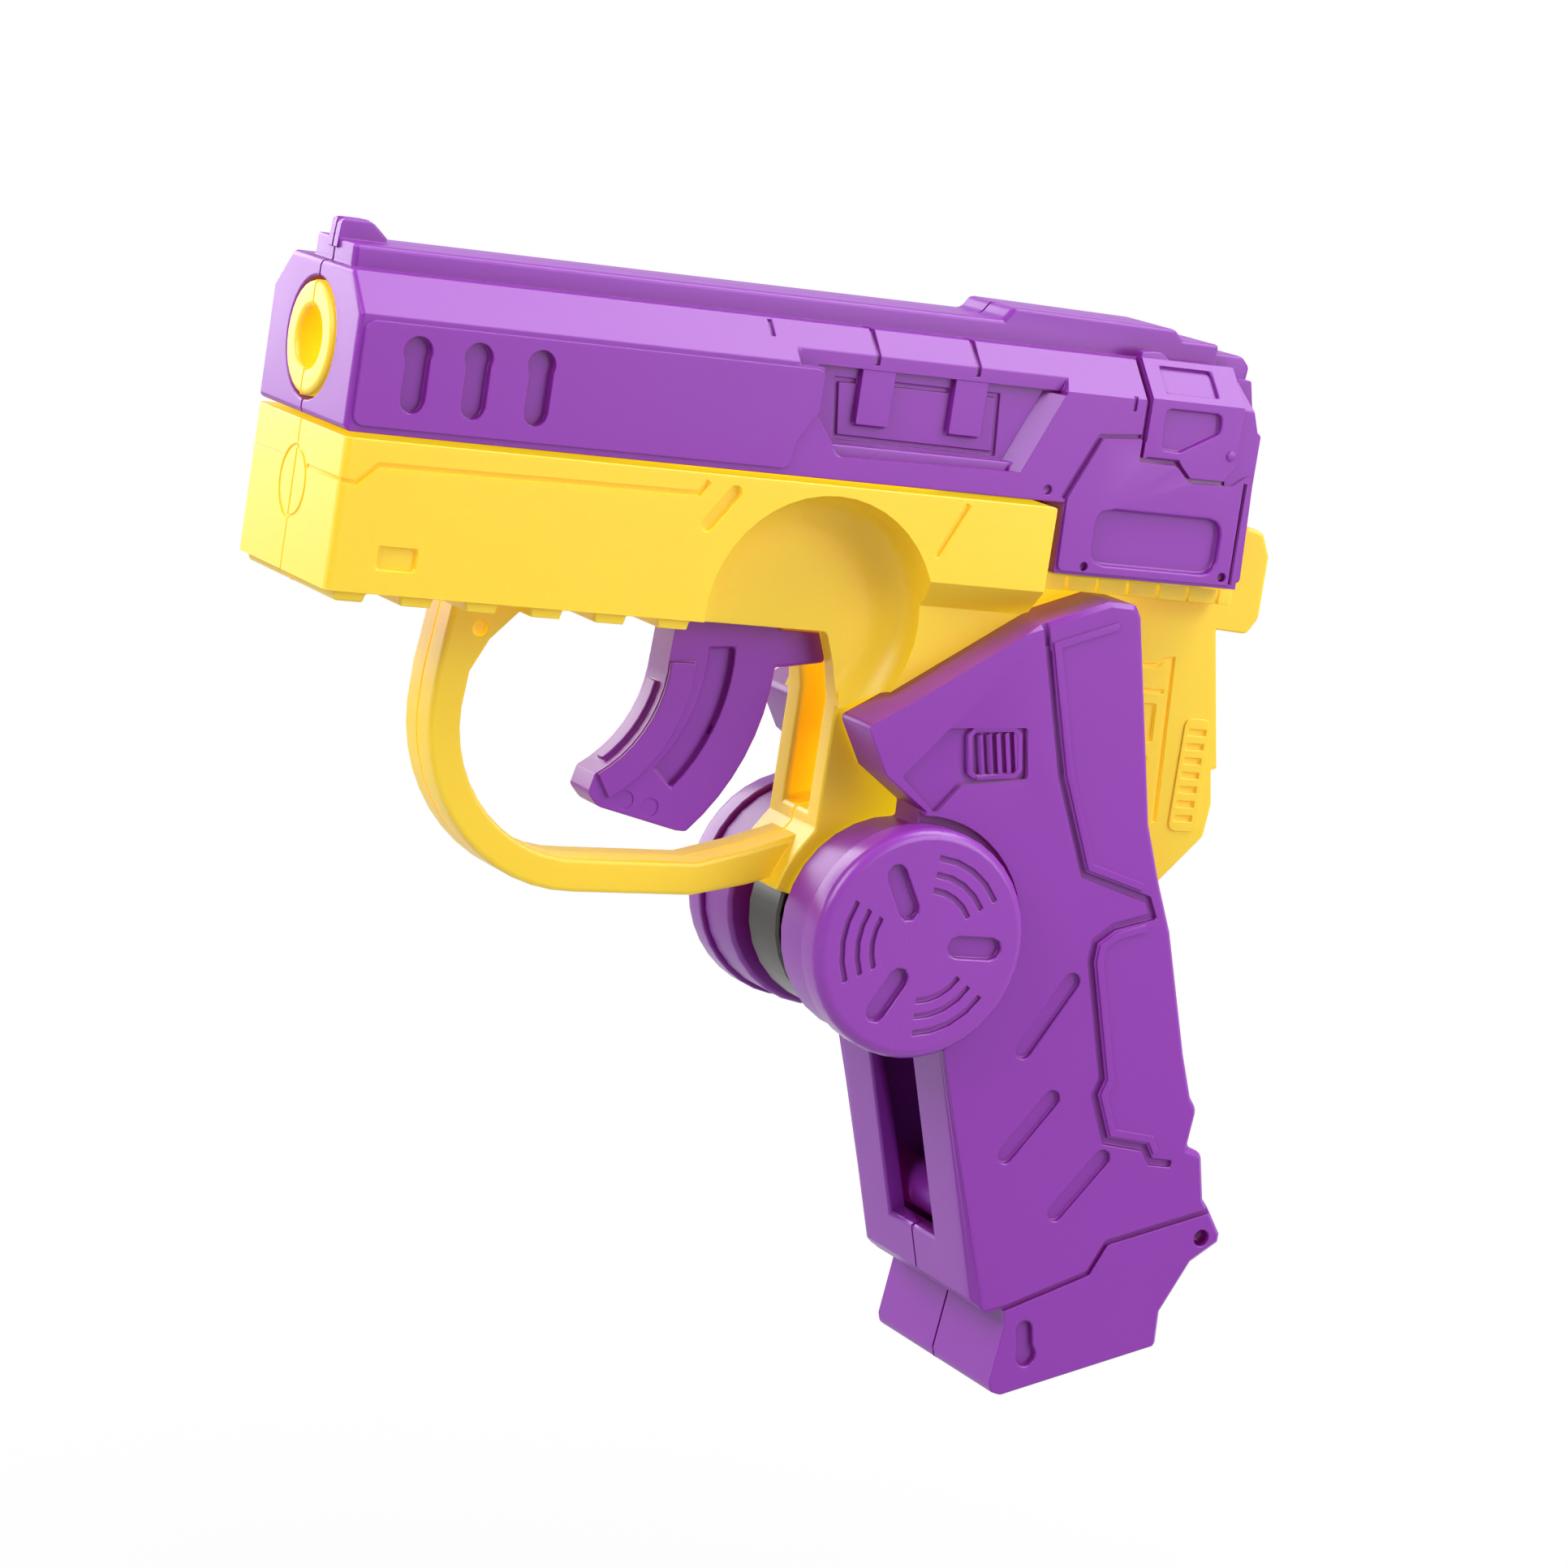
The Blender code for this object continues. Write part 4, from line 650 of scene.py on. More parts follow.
@dataclass(frozen=True)
class Plastic:
    """Injection-moulded plastic with painted shade and painted light in its hollows.

    Open faces take the lit colour, with marks of the flow colour. Deep corners are painted
    darker toward a painted shade colour, and deep hollows emit painted light, standing in for
    light that would bounce and pass through the wall. Limits are shares of openness, between
    full effect and none or none and full. Reaches and the grain's height are in metres.
    """

    name: str
    lit: Colour
    flow: Colour
    painted_shade: Colour
    painted_glow: Colour
    roughness: float
    grain: float
    scatter: float
    reach: float
    spread: Colour
    shade_reach: float
    shade_limits: Point = (0.10, 0.80)
    painted_glow_limits: Point = (0.05, 0.60)
    grain_height: float = 0.00004

    def build(self) -> bpy.types.Material:
        """Node material of this plastic."""
        made, graph = Graph.material(self.name)
        feeds = {"Base Roughness": self.roughness}
        surface = graph.add("ShaderNodeGroup", feeds, node_tree=moulded_surface())
        marked = graph.mix(surface.outputs["Cloud"], self.lit, self.flow)
        feeds = {"Distance": self.shade_reach}
        openness = graph.add("ShaderNodeAmbientOcclusion", feeds, samples=6).outputs["AO"]
        # Painted shade: corners and hollows, where the AO openness is low, take the painted shade
        # colour.
        colour = graph.mix(graph.share(openness, self.shade_limits), self.painted_shade, marked)
        # Painted light: the same hollows emit the painted glowing colour, in place of light bounced
        # and let through the wall.
        light = graph.mix(graph.share(openness, self.painted_glow_limits), self.painted_glow, (0.0, 0.0, 0.0))
        feeds = {"Strength": self.grain, "Distance": self.grain_height}
        bump = graph.add("ShaderNodeBump", {"Height": surface.outputs["Height"], **feeds})
        looks = {
            "Base Color": colour,
            "Emission Color": light,
            "Emission Strength": 1.0,
            "Roughness": surface.outputs["Rough"],
            "Normal": bump.outputs["Normal"],
            "Subsurface Weight": self.scatter,
            "Subsurface Radius": self.spread,
            "Subsurface Scale": self.reach,
        }
        graph.feed(made.node_tree.nodes["Principled BSDF"], looks)
        return made


@dataclass(frozen=True)
class Metal:
    """Ground or plated steel with rings round the hub's axis.

    The rings have bright crests and dull valleys, and the roughness is the least one.
    """

    name: str
    bright: Colour
    dull: Colour
    roughness: float

    def build(self) -> bpy.types.Material:
        """Node material of this metal."""
        made, graph = Graph.material(self.name)
        feeds = {"Base Roughness": self.roughness}
        rings = graph.add("ShaderNodeGroup", feeds, node_tree=turned_rings())
        looks = {
            "Base Color": graph.mix(rings.outputs["Ring"], self.dull, self.bright),
            "Roughness": rings.outputs["Rough"],
            "Metallic": 1.0,
        }
        graph.feed(made.node_tree.nodes["Principled BSDF"], looks)
        return made


# Each plastic below has a painted shade colour for its corners and hollows, and a painted glowing
# colour, light emitted in those hollows.
PURPLE = Plastic(
    name="purple_moulding",
    lit=(0.236, 0.020, 0.372),
    flow=(0.256, 0.025, 0.400),
    painted_shade=(0.130, 0.006, 0.110),
    painted_glow=(0.040, 0.0, 0.030),
    roughness=0.36,
    grain=0.10,
    scatter=0.12,
    reach=0.0012,
    spread=(1.0, 0.25, 0.8),
    shade_reach=0.006,
)
FINISHES = {
    "purple_plastic": PURPLE,
    "purple_cap_plastic": replace(
        PURPLE,
        name="purple_cap_moulding",
        lit=(0.262, 0.032, 0.405),
        flow=(0.280, 0.036, 0.430),
        roughness=0.27,
        grain=0.05,
        shade_reach=0.004,
    ),
    "yellow_plastic": Plastic(
        name="yellow_moulding",
        lit=(0.955, 0.640, 0.024),
        flow=(0.965, 0.670, 0.034),
        painted_shade=(0.900, 0.400, 0.006),
        painted_glow=(0.700, 0.560, 0.008),
        roughness=0.36,
        grain=0.08,
        scatter=0.22,
        reach=0.0020,
        spread=(1.0, 0.40, 0.06),
        shade_reach=0.008,
    ),
    "bearing_steel": Metal("ground_race_steel", (0.62, 0.62, 0.63), (0.48, 0.48, 0.50), 0.16),
    "dark_race_steel": Metal("dark_race_steel", (0.085, 0.080, 0.075), (0.040, 0.038, 0.036), 0.24),
    "zinc_steel": Metal("zinc_plated_steel", (0.56, 0.55, 0.52), (0.42, 0.41, 0.38), 0.26),
    "black_rubber": Plastic(
        name="seal_rubber",
        lit=(0.014, 0.014, 0.015),
        flow=(0.022, 0.022, 0.023),
        painted_shade=(0.006, 0.006, 0.006),
        painted_glow=(0.0, 0.0, 0.0),
        roughness=0.55,
        grain=0.25,
        scatter=0.0,
        reach=0.0005,
        spread=(1.0, 1.0, 1.0),
        shade_reach=0.003,
    ),
    "cage_nylon": Plastic(
        name="cage_nylon",
        lit=(0.640, 0.590, 0.470),
        flow=(0.690, 0.640, 0.520),
        painted_shade=(0.300, 0.260, 0.190),
        painted_glow=(0.020, 0.015, 0.008),
        roughness=0.45,
        grain=0.10,
        scatter=0.10,
        reach=0.0010,
        spread=(1.0, 0.7, 0.4),
        shade_reach=0.003,
    ),
}


@dataclass(frozen=True)
class Softbox:
    """Rectangular lamp that faces the toy, with its sizes in metres."""

    name: str
    place: Triple
    size: Point
    watts: float
    aim: Triple = (0.0, 0.0, 0.01)

    def build(self) -> None:
        """Stands the lamp and turns it to the toy."""
        data = bpy.data.lights.new(self.name, "AREA")
        data.shape = "RECTANGLE"
        data.size, data.size_y = self.size
        data.energy = self.watts
        lamp = stand(self.name, data)
        lamp.location = self.place
        lamp.visible_camera = False
        lamp.rotation_euler = (Vector(self.aim) - lamp.location).to_track_quat("-Z", "Y").to_euler()


SOFTBOXES = (
    Softbox("overhead", (0.36, -0.14, 0.68), (0.5, 0.45), 4.3),
    Softbox("muzzle_side", (-0.36, -0.10, 0.26), (0.25, 0.25), 1.35),
    Softbox("front_fill", (0.26, -0.37, 0.20), (0.35, 0.35), 1.55),
    Softbox("back_left", (-0.21, 0.40, 0.17), (0.40, 0.36), 2.0),
)


@dataclass(frozen=True)
class Studio:
    """Camera at the photograph's angle, pale floor and soft light.

    Places and distances are in metres, and angles in radians. The surround has one strength as
    a light and one in reflections. The floor lies below the toy's lowest point at rest, and its
    shadow fades between two distances from the toy.
    """

    image_px: float = 1932.0
    focal_px: float = 6740.0
    sensor_mm: float = 36.0
    clip: Point = (0.01, 20.0)
    azimuth: float = math.radians(-28.49)
    elevation: float = math.radians(9.11)
    roll: float = math.radians(-8.91)
    eye: Triple = (-0.2849, -0.5051, 0.1055)
    ambient: float = 0.20
    mirrored: float = 0.75
    floor_size: float = 8.0
    floor_drop: float = 0.0425
    floor_greys: Point = (0.44, 0.46)
    floor_grain: float = 30.0
    shadow_limits: Point = (0.06, 0.17)
    shadow_white: float = 0.92

    def camera(self) -> None:
        """Stands the camera where the photograph was taken."""
        data = bpy.data.cameras.new("camera")
        data.sensor_width = self.sensor_mm
        data.lens = self.focal_px / self.image_px * self.sensor_mm
        data.clip_start, data.clip_end = self.clip
        eye = stand("camera", data)
        level_out = math.cos(self.elevation)
        x, y = math.sin(self.azimuth) * level_out, -math.cos(self.azimuth) * level_out
        back = Vector((x, y, math.sin(self.elevation)))
        level = (-back).cross(Vector((0, 0, 1))).normalized()
        fall = (-back).cross(level)
        right = math.cos(self.roll) * level + math.sin(self.roll) * fall
        down = -math.sin(self.roll) * level + math.cos(self.roll) * fall
        turn = Matrix((right, -down, back)).transposed().to_4x4()
        eye.matrix_world = Matrix.Translation(self.eye) @ turn
        bpy.context.scene.camera = eye

    def world(self) -> None:
        """White surround for the eye and for reflections, dimmer as a light."""
        world = bpy.data.worlds.new("surround")
        bpy.context.scene.world = world
        world.use_nodes = True
        graph = Graph(world.node_tree)
        path = graph.add("ShaderNodeLightPath", {}).outputs
        seen = graph.maths("MAXIMUM", path["Is Camera Ray"], path["Is Transmission Ray"])
        glossy = graph.maths("MULTIPLY", path["Is Glossy Ray"], self.mirrored)
        level = graph.maths("MAXIMUM", graph.maths("MAXIMUM", seen, glossy), self.ambient)
        looks = {"Color": (1.0, 1.0, 1.0, 1.0), "Strength": level}
        graph.feed(world.node_tree.nodes["Background"], looks)

    def floor_finish(self) -> bpy.types.Material:
        """Matt grey for light, and near white for the eye and for reflections."""
        made, graph = Graph.material("pale_floor")
        nodes = made.node_tree.nodes
        nodes.remove(nodes["Principled BSDF"])
        place = graph.place()
        speck = graph.noise(Vector=place, Scale=self.floor_grain)
        tint = graph.mix(speck, *((grey,) * 3 for grey in self.floor_greys))
        matt = graph.add("ShaderNodeBsdfDiffuse", {"Color": tint}).outputs["BSDF"]
        white = graph.add("ShaderNodeEmission", {"Strength": 1.0}).outputs["Emission"]
        path = graph.add("ShaderNodeLightPath", {}).outputs
        seen = graph.maths("MAXIMUM", path["Is Camera Ray"], path["Is Glossy Ray"])
        fading = (graph.length(place), self.shadow_limits, self.shadow_white)
        fade = graph.share(*fading, interpolation_type="SMOOTHSTEP")
        feeds = {"Fac": graph.maths("MULTIPLY", seen, fade), 1: matt, 2: white}
        both = graph.add("ShaderNodeMixShader", feeds).outputs["Shader"]
        graph.feed(nodes["Material Output"], {"Surface": both})
        return made

    def floor(self) -> None:
        """Pale floor below the folded muzzle that keeps a faint shadow."""
        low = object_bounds()[0][2] - self.floor_drop
        bpy.ops.mesh.primitive_plane_add(size=self.floor_size, location=(0, 0, 0))
        plane = bpy.context.object
        plane.name = "floor"
        plane.data.transform(Matrix.Translation((0, 0, low)))
        plane.data.materials.append(self.floor_finish())
        plane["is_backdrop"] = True

    def build(self) -> None:
        """Sets up the whole studio."""
        bpy.context.scene.view_settings.view_transform = "Standard"
        self.camera()
        for lamp in SOFTBOXES:
            lamp.build()
        self.world()
        self.floor()
        LOG.info("studio ready")


@cache
def coat(slot: str) -> bpy.types.Material:
    """Material of a record slot, built once."""
    return FINISHES[slot].build()


def dress(piece: Piece, slot: str) -> None:
    """Gives a piece the finish of a record slot."""
    piece.data.materials.clear()
    piece.data.materials.append(coat(slot))


def body_of(node: str) -> str:
    """The body that a CAD node moves with."""
    bodies = FRAME["record"]["behaviour"]["bodies"]
    return next(name for name, nodes in bodies.items() if node in nodes)


def seat(piece: Piece, node: str, slot: str) -> None:
    """Dresses a finished piece and lets it stand for its CAD node.

    Args:
        piece: The finished piece.
        node: The CAD node that it stands for.
        slot: The record slot of its finish.
    """
    dress(piece, slot)
    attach(piece, body_of(node))
    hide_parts(node)
    LOG.info("%s stands for %s", piece.name, node)


@dataclass
class Half:
    """One half of a moulding that is split along the mid-plane.

    Its sizes are in millimetres, apart from its widest edge rounding, which is in metres.
    A face is named by its distance from the mid-plane. A hole is sized by its radius and depth,
    and a strip by its width, its depth into the face and its rise out of it.
    """

    side: Side
    stem: str = ""
    slot: str = "purple_plastic"
    rounding: float = 0.0003

    @property
    def node(self) -> str:
        """The CAD node that this half stands for."""
        return f"{self.stem}_{self.side.name.lower()}"

    def outline(self, points: Points) -> list[Point]:
        """Side-view points as places in metres."""
        return side_outline(points)

    def across(self, points: Points, face: float, deep: float, rise: float = CLEAR) -> Piece:
        """Solid of side-view points that goes so deep into a face and rises so far out of it."""
        return slab(self.outline(points), face - deep, face + rise, self.side)

    def holes(self, centres: Points, size: Point, face: float, count: int = 20) -> list[Piece]:
        """Round solids of some radius and depth that are cut into a face."""
        return [self.across(ring(centre, size[0], count), face, size[1]) for centre in centres]

    def strips(self, lines: Sequence[Points], size: Triple, face: float) -> list[Piece]:
        """Solids of some width, depth and rise that follow lines on a face."""
        return [self.across(strip(line, size[0]), face, *size[1:]) for line in lines]

    def along(self, section: Points, start: float, end: float) -> Piece:
        """Solid of a half section run fore and aft.

        Args:
            section: Distance from the mid-plane and height over the slide's underside.
            start: Distance behind the muzzle face.
            end: Distance behind the muzzle face.

        Returns:
            The solid.
        """
        outline = [(self.side.value * y * MM, (z + UNDERSIDE_TO_AXLE) * MM) for y, z in section]
        low, high = ((x - MUZZLE_TO_AXLE) * MM for x in (start, end))
        return prism(outline, low, high, Run.FORE_AND_AFT)

    def raised(self) -> list[Piece]:
        """Solids that are joined to the half."""
        return []

    def sunk(self) -> list[Piece]:
        """Solids that are cut out of the half."""
        return []

    def build(self) -> None:
        """Models, rounds, dresses and seats the half."""
        piece = shell(self.node, f"{self.node}_shell")
        for tools, how in ((self.raised(), Cut.JOIN), (self.sunk(), Cut.AWAY)):
            if tools:
                combine(piece, tools, how)
        flatten(piece)
        round_edges(piece, self.rounding)
        seat(piece, self.node, self.slot)


@dataclass
class SlideHalf(Half):
    """Slide half with keyhole slots, port lines, pin holes and the seams of its rear cabin.

    The chamfer's foot and top are distances from the mid-plane and heights. The rib's rise is
    its foot and top over the chamfer, and the sight's heights are over the rib. The port's end
    is the line where its slope meets the side, and that slope is its run for each millimetre
    of depth. Ticks are grooves across the chamfer.
    """

    stem: str = "slide"
    rounding: float = 0.0006
    half_width: float = 11.6
    chamfer: Line = ((11.6, 11.75), (7.85, 15.6))
    rib_half: float = 5.1
    rib_wall: float = 2.0
    rib_rise: Point = (0.3, 2.3)
    rib_ends: Point = (1.2, 102.6)
    sight: Line = ((75.0, -1.0), (76.7, 1.4), (97.0, 1.1), (99.0, -1.0))
    button: Point = (102.1, 6.8)
    button_radius: float = 0.55
    button_root: float = 0.2
    button_rise: float = 0.5
    button_corners: int = 14
    keyholes: Line = ((6.6, 8.5), (13.2, 8.5), (20.1, 8.5))
    keyhole: Point = (1.58, 0.6)
    port_floor: float = 9.5
    port_end: Line = ((76.66, 2.2), (80.96, 11.3))
    port_slope: float = 0.857
    port_root: float = 0.2
    port_bite: float = 0.3
    port_step: float = 0.05
    port_lines: tuple[Line, ...] = (
        ((57.0, 10.2), (54.6, 10.2), (55.4, 4.25), (74.4, 4.15), (73.9, 10.3), (72.5, 10.3)),
        ((61.3, 10.25), (68.1, 10.25)),
    )
    port_line: Triple = (0.5, 0.3, 0.3)
    seam: Triple = (0.45, 0.3, CLEAR)
    seams: tuple[Line, ...] = (
        ((89.5, 10.4), (89.5, 12.0)),
        ((91.05, 12.2), (91.05, 5.65)),
        ((104.5, 4.0), (104.6, -7.0)),
        ((82.45, 0.5), (85.9, 7.45), (90.8, 7.85)),
        ((90.85, 5.45), (95.65, 5.4), (97.5, 3.7), (102.0, 3.76)),
    )
    pins: Line = ((80.5, 1.2), (86.2, -6.5), (103.5, -6.3))
    pin: Point = (0.5, 0.45)
    pin_corners: int = 12
    tick_half: float = 0.25
    ticks: tuple[tuple[float, ...], ...] = ((46.6, 0.55, 0.95, 0.3), (91.05, -0.05, 1.05, 0.4))

    def tick(self, x: float, low: float, high: float, deep: float) -> Piece:
        """Groove across the chamfer.

        Args:
            x: Its middle, behind the muzzle face.
            low: Where it starts, as a share of the chamfer from its foot.
            high: Where it ends.
            deep: Its depth.

        Returns:
            The cutter.
        """
        foot, top = (Vector(corner) for corner in self.chamfer)
        up = top - foot
        out = Vector((up.y, -up.x)).normalized()
        a, b = foot + up * low, foot + up * high
        section = [a - out * deep, a + out * CLEAR, b + out * CLEAR, b - out * deep]
        return self.along([tuple(p) for p in section], x - self.tick_half, x + self.tick_half)

    def port_ramp(self) -> Piece:
        """Sloped rear end of the port, from its floor up to the slide's side."""
        start, end = self.port_floor - self.port_root, self.half_width - self.port_step
        reach, bite = (self.half_width - start) * self.port_slope, self.port_bite
        (foot, low), (head, high) = self.port_end
        ramp = ((foot - reach, low), (foot + bite, low), (head + bite, high), (head - reach, high))
        first, last = self.side.value * start * MM, self.side.value * end * MM
        lean = (end - start) * self.port_slope * MM
        return prism(self.outline(ramp), first, last, Run.ACROSS, lean)

    def raised(self) -> list[Piece]:
        """Button on the cabin's side, upright sides of rib and rear sight, and the port's end."""
        button = ring(self.button, self.button_radius, self.button_corners)
        near, far = self.rib_half - self.rib_wall, self.rib_half
        low, high = (self.chamfer[1][1] + z for z in self.rib_rise)
        sight = [(x, high + z) for x, z in self.sight]
        return [
            self.across(button, self.half_width, self.button_root, self.button_rise),
            self.along([(near, low), (far, low), (far, high), (near, high)], *self.rib_ends),
            self.across(sight, self.rib_half, self.rib_wall, 0.0),
            self.port_ramp(),
        ]

    def sunk(self) -> list[Piece]:
        """Keyhole ends, port lines, cabin seams, pin holes and ticks."""
        return [
            *self.holes(self.keyholes, self.keyhole, self.half_width),
            *self.strips(self.port_lines, self.port_line, self.port_floor),
            *self.strips(self.seams, self.seam, self.half_width),
            *self.holes(self.pins, self.pin, self.half_width, self.pin_corners),
            *(self.tick(*tick) for tick in self.ticks),
        ]


@dataclass
class FrameHalf(Half):
    """Frame half with its front ring, guard dimples, deck notches and tail lines.

    The front's cuts are between two distances behind the muzzle face. A dimple is its centre
    and its radius, a notch is its middle, and a tail well is its foot and its top. Each of the
    three has a depth and a rise.
    """

    stem: str = "frame"
    slot: str = "yellow_plastic"
    rounding: float = 0.0006
    half_width: float = 11.95
    front_cuts: Point = (-0.6, 0.35)
    ring_middle: float = -6.9
    ring_radii: Point = (3.3, 3.6)
    ring_turn: float = 1.53
    ring_corners: int = 15
    ring_line: float = 0.45
    front_seam: Line = ((3.1, -5.05), (13.0, -5.05), (13.0, -4.6), (3.1, -4.6))
    corner: Line = ((-0.6, -4.85), (2.0, -4.95))
    corner_cut: Triple = (0.55, 0.4, CLEAR)
    guard_half: float = 3.4
    dimples: tuple[tuple[Point, float], ...] = (((21.6, -19.7), 0.85), ((16.4, -19.4), 0.6))
    dimple: Point = (0.5, 0.5)
    strip_half: float = 9.0
    notches: tuple[float, ...] = (86.2, 90.0, 93.8, 97.6, 101.4, 105.2)
    notch_half: float = 0.18
    notch_heights: Point = (-10.0, -7.6)
    notch: Point = (0.25, 0.5)
    tail_half: float = 5.5
    tail_lines: tuple[Line, ...] = (
        ((96.0, -17.5), (101.2, -17.4), (102.0, -16.7), (103.2, -16.5), (104.2, -34.6)),
        ((96.0, -20.2), (102.6, -20.2)),
    )
    tail_line: Triple = (0.45, 0.3, 0.4)
    tail_wells: Line = ((-25.8, -21.6), (-32.0, -27.4))
    tail_well_ends: Triple = (97.0, 102.2, 102.0)
    tail_well: Point = (0.35, 0.4)

    def sunk(self) -> list[Piece]:
        """Front ring and seam, guard dimples, deck notches and tail lines."""
        wide, tall = self.ring_radii
        turns = np.linspace(-self.ring_turn, self.ring_turn, self.ring_corners)
        arc = [(wide * math.cos(a), self.ring_middle + tall * math.sin(a)) for a in turns]
        tools = [
            self.along(strip(arc, self.ring_line), *self.front_cuts),
            self.along(self.front_seam, *self.front_cuts),
            *self.strips([self.corner], self.corner_cut, self.half_width),
        ]
        for centre, radius in self.dimples:
            tools.append(self.across(ring(centre, radius), self.guard_half, *self.dimple))
        low, high = self.notch_heights
        for x in self.notches:
            fore, aft = x - self.notch_half, x + self.notch_half
            notch = ((fore, low), (aft, low), (aft, high), (fore, high))
            tools.append(self.across(notch, self.strip_half, *self.notch))
        tools += self.strips(self.tail_lines, self.tail_line, self.tail_half)
        fore, foot, head = self.tail_well_ends
        for low, high in self.tail_wells:
            well = ((fore, low), (foot, low), (head, high), (fore, high))
            tools.append(self.across(well, self.tail_half, *self.tail_well))
        return tools


@dataclass
class GripHalf(Half):
    """Grip half with the rims of its rear panels, its key slot and its peg hole.

    The panels are the middle lines of the grooves round them, and a rim runs beside each. The
    surround frames the ribs.
    """

    stem: str = "grip"
    rounding: float = 0.0008
    half_width: float = 13.0
    panels: tuple[Line, ...] = (
        ((29.0, 28.9), (20.3, 28.5), (20.1, 13.2), (21.5, 1.7), (28.0, -2.4)),
        (
            *((28.4, -5.1), (24.6, -5.0), (22.0, -6.0), (21.2, -8.2), (21.0, -21.6)),
            *((19.9, -23.1), (20.6, -28.7), (25.3, -30.8), (25.6, -32.0)),
        ),
    )
    rim: Triple = (0.8, 0.3, 0.22)
    rim_offset: float = 1.05
    surround: Line = (
        *((10.0, 15.6), (9.4, 16.2), (9.9, 20.2), (10.6, 20.7), (15.2, 19.6)),
        *((15.8, 18.9), (15.3, 15.1), (14.6, 14.6), (10.1, 15.5)),
    )
    surround_line: Triple = (0.5, 1.0, -0.05)
    groove_top: Line = ((20.3, 27.0), (20.35, 31.5))
    groove: Triple = (0.8, 0.48, CLEAR)
    key: Line = ((8.2, -47.3), (7.9, -50.4))
    key_width: float = 2.0
    key_depth: float = 0.7
    key_head: Point = (8.0, -50.3)
    key_hole: Point = (1.25, 0.72)
    peg: Point = (31.2, -43.2)
    peg_hole: Point = (0.95, 1.6)

    def outline(self, points: Points) -> list[Point]:
        """Side-view points of the grip as places in metres."""
        return grip_outline(points)

    def raised(self) -> list[Piece]:
        """Rims of the two rear panels and the frame round the ribs."""
        rims = [beside(line, self.rim_offset) for line in self.panels]
        return [
            *self.strips(rims, self.rim, self.half_width),
            *self.strips([self.surround], self.surround_line, self.half_width),
        ]

    def sunk(self) -> list[Piece]:
        """Key slot in the foot, top of the panel groove and peg hole in the heel."""
        side, key = self.half_width, slot_ends(*self.key, self.key_width)
        return [
            self.across(key, side, self.key_depth),
            *self.strips([self.groove_top], self.groove, side),
            *self.holes([self.key_head], self.key_hole, side),
            *self.holes([self.peg], self.peg_hole, side),
        ]


@dataclass
class FingerCap(Half):
    """Finger cap, glossier than the mouldings round it."""

    stem: str = "finger_cap"
    slot: str = "purple_cap_plastic"
    rounding: float = 0.0002


@dataclass
class Trigger:
    """Trigger blade with a proud finger band, a sunk track and the marks of its ejector pins.

    The band and the track are each a centre, an inner and an outer radius, and a first and a
    last angle in degrees. The face and the track's floor are distances from the mid-plane.
    """

    face: float = 2.3
    band: Line = ((30.0, -22.2), (14.2, 17.2), (-57.0, 2.0))
    band_root: float = 0.5
    band_rise: float = 0.45
    track: Line = ((31.0, -21.5), (17.7, 20.7), (-41.0, 5.0))
    track_floor: float = 1.4
    track_marks: Line = ((51.2, -29.0),)
    tip_marks: Line = ((44.4, -37.3), (41.4, -36.7))
    mark_radius: float = 1.0
    mark_depth: float = 0.12
    mark_clear: float = 0.4
    rounding: float = 0.0004

    def build(self) -> None:
        """Models, dresses and seats the trigger."""
        piece = shell("trigger", "trigger_blade")
        band, track = (side_outline(arc_band(*arc)) for arc in (self.band, self.track))
        face, floor = self.face, self.track_floor
        marks = [(c, floor) for c in self.track_marks] + [(c, face) for c in self.tip_marks]
        bands, tools = [], []
        for side in Side:
            bands.append(slab(band, face - self.band_root, face + self.band_rise, side))
            tools.append(slab(track, floor, face + CLEAR, side))
            for centre, base in marks:
                mark = side_outline(ring(centre, self.mark_radius))
                near, far = base - self.mark_depth, base + self.mark_clear
                tools.append(slab(mark, near, far, side))
        combine(piece, bands, Cut.JOIN)
        combine(piece, tools, Cut.AWAY)
        flatten(piece)
        round_edges(piece, self.rounding)
        seat(piece, "trigger", "purple_plastic")


@dataclass
class Hub:
    """Turned parts of the spinner's hub: races, seals, spacers, axle and balls."""

    rounding: float = 0.0002
    ball_angle: float = 80.0

    def turned(self, node: str, slot: str) -> None:
        """Rounds and dresses one turned part."""
        piece = shell(node, f"{node}_turned")
        round_edges(piece, self.rounding)
        seat(piece, node, slot)

    def balls(self) -> None:
        """Smooths each ball."""
        for row in FRAME["record"]["subparts"]:
            if not row["node"].startswith("bearing_ball"):
                continue
            piece = shell(row["node"], f"{row['node']}_ground")
            apply(piece, "SUBSURF", levels=2)
            even(piece, self.ball_angle)
            seat(piece, row["node"], "bearing_steel")

    def build(self) -> None:
        """Finishes every turned part of the hub."""
        self.turned("bearing_outer_race", "dark_race_steel")
        self.turned("bearing_inner_race", "bearing_steel")
        self.turned("spinner_axle", "zinc_steel")
        for label in ("left", "right"):
            self.turned(f"bearing_seal_{label}", "black_rubber")
            self.turned(f"axle_spacer_{label}", "zinc_steel")
        self.balls()


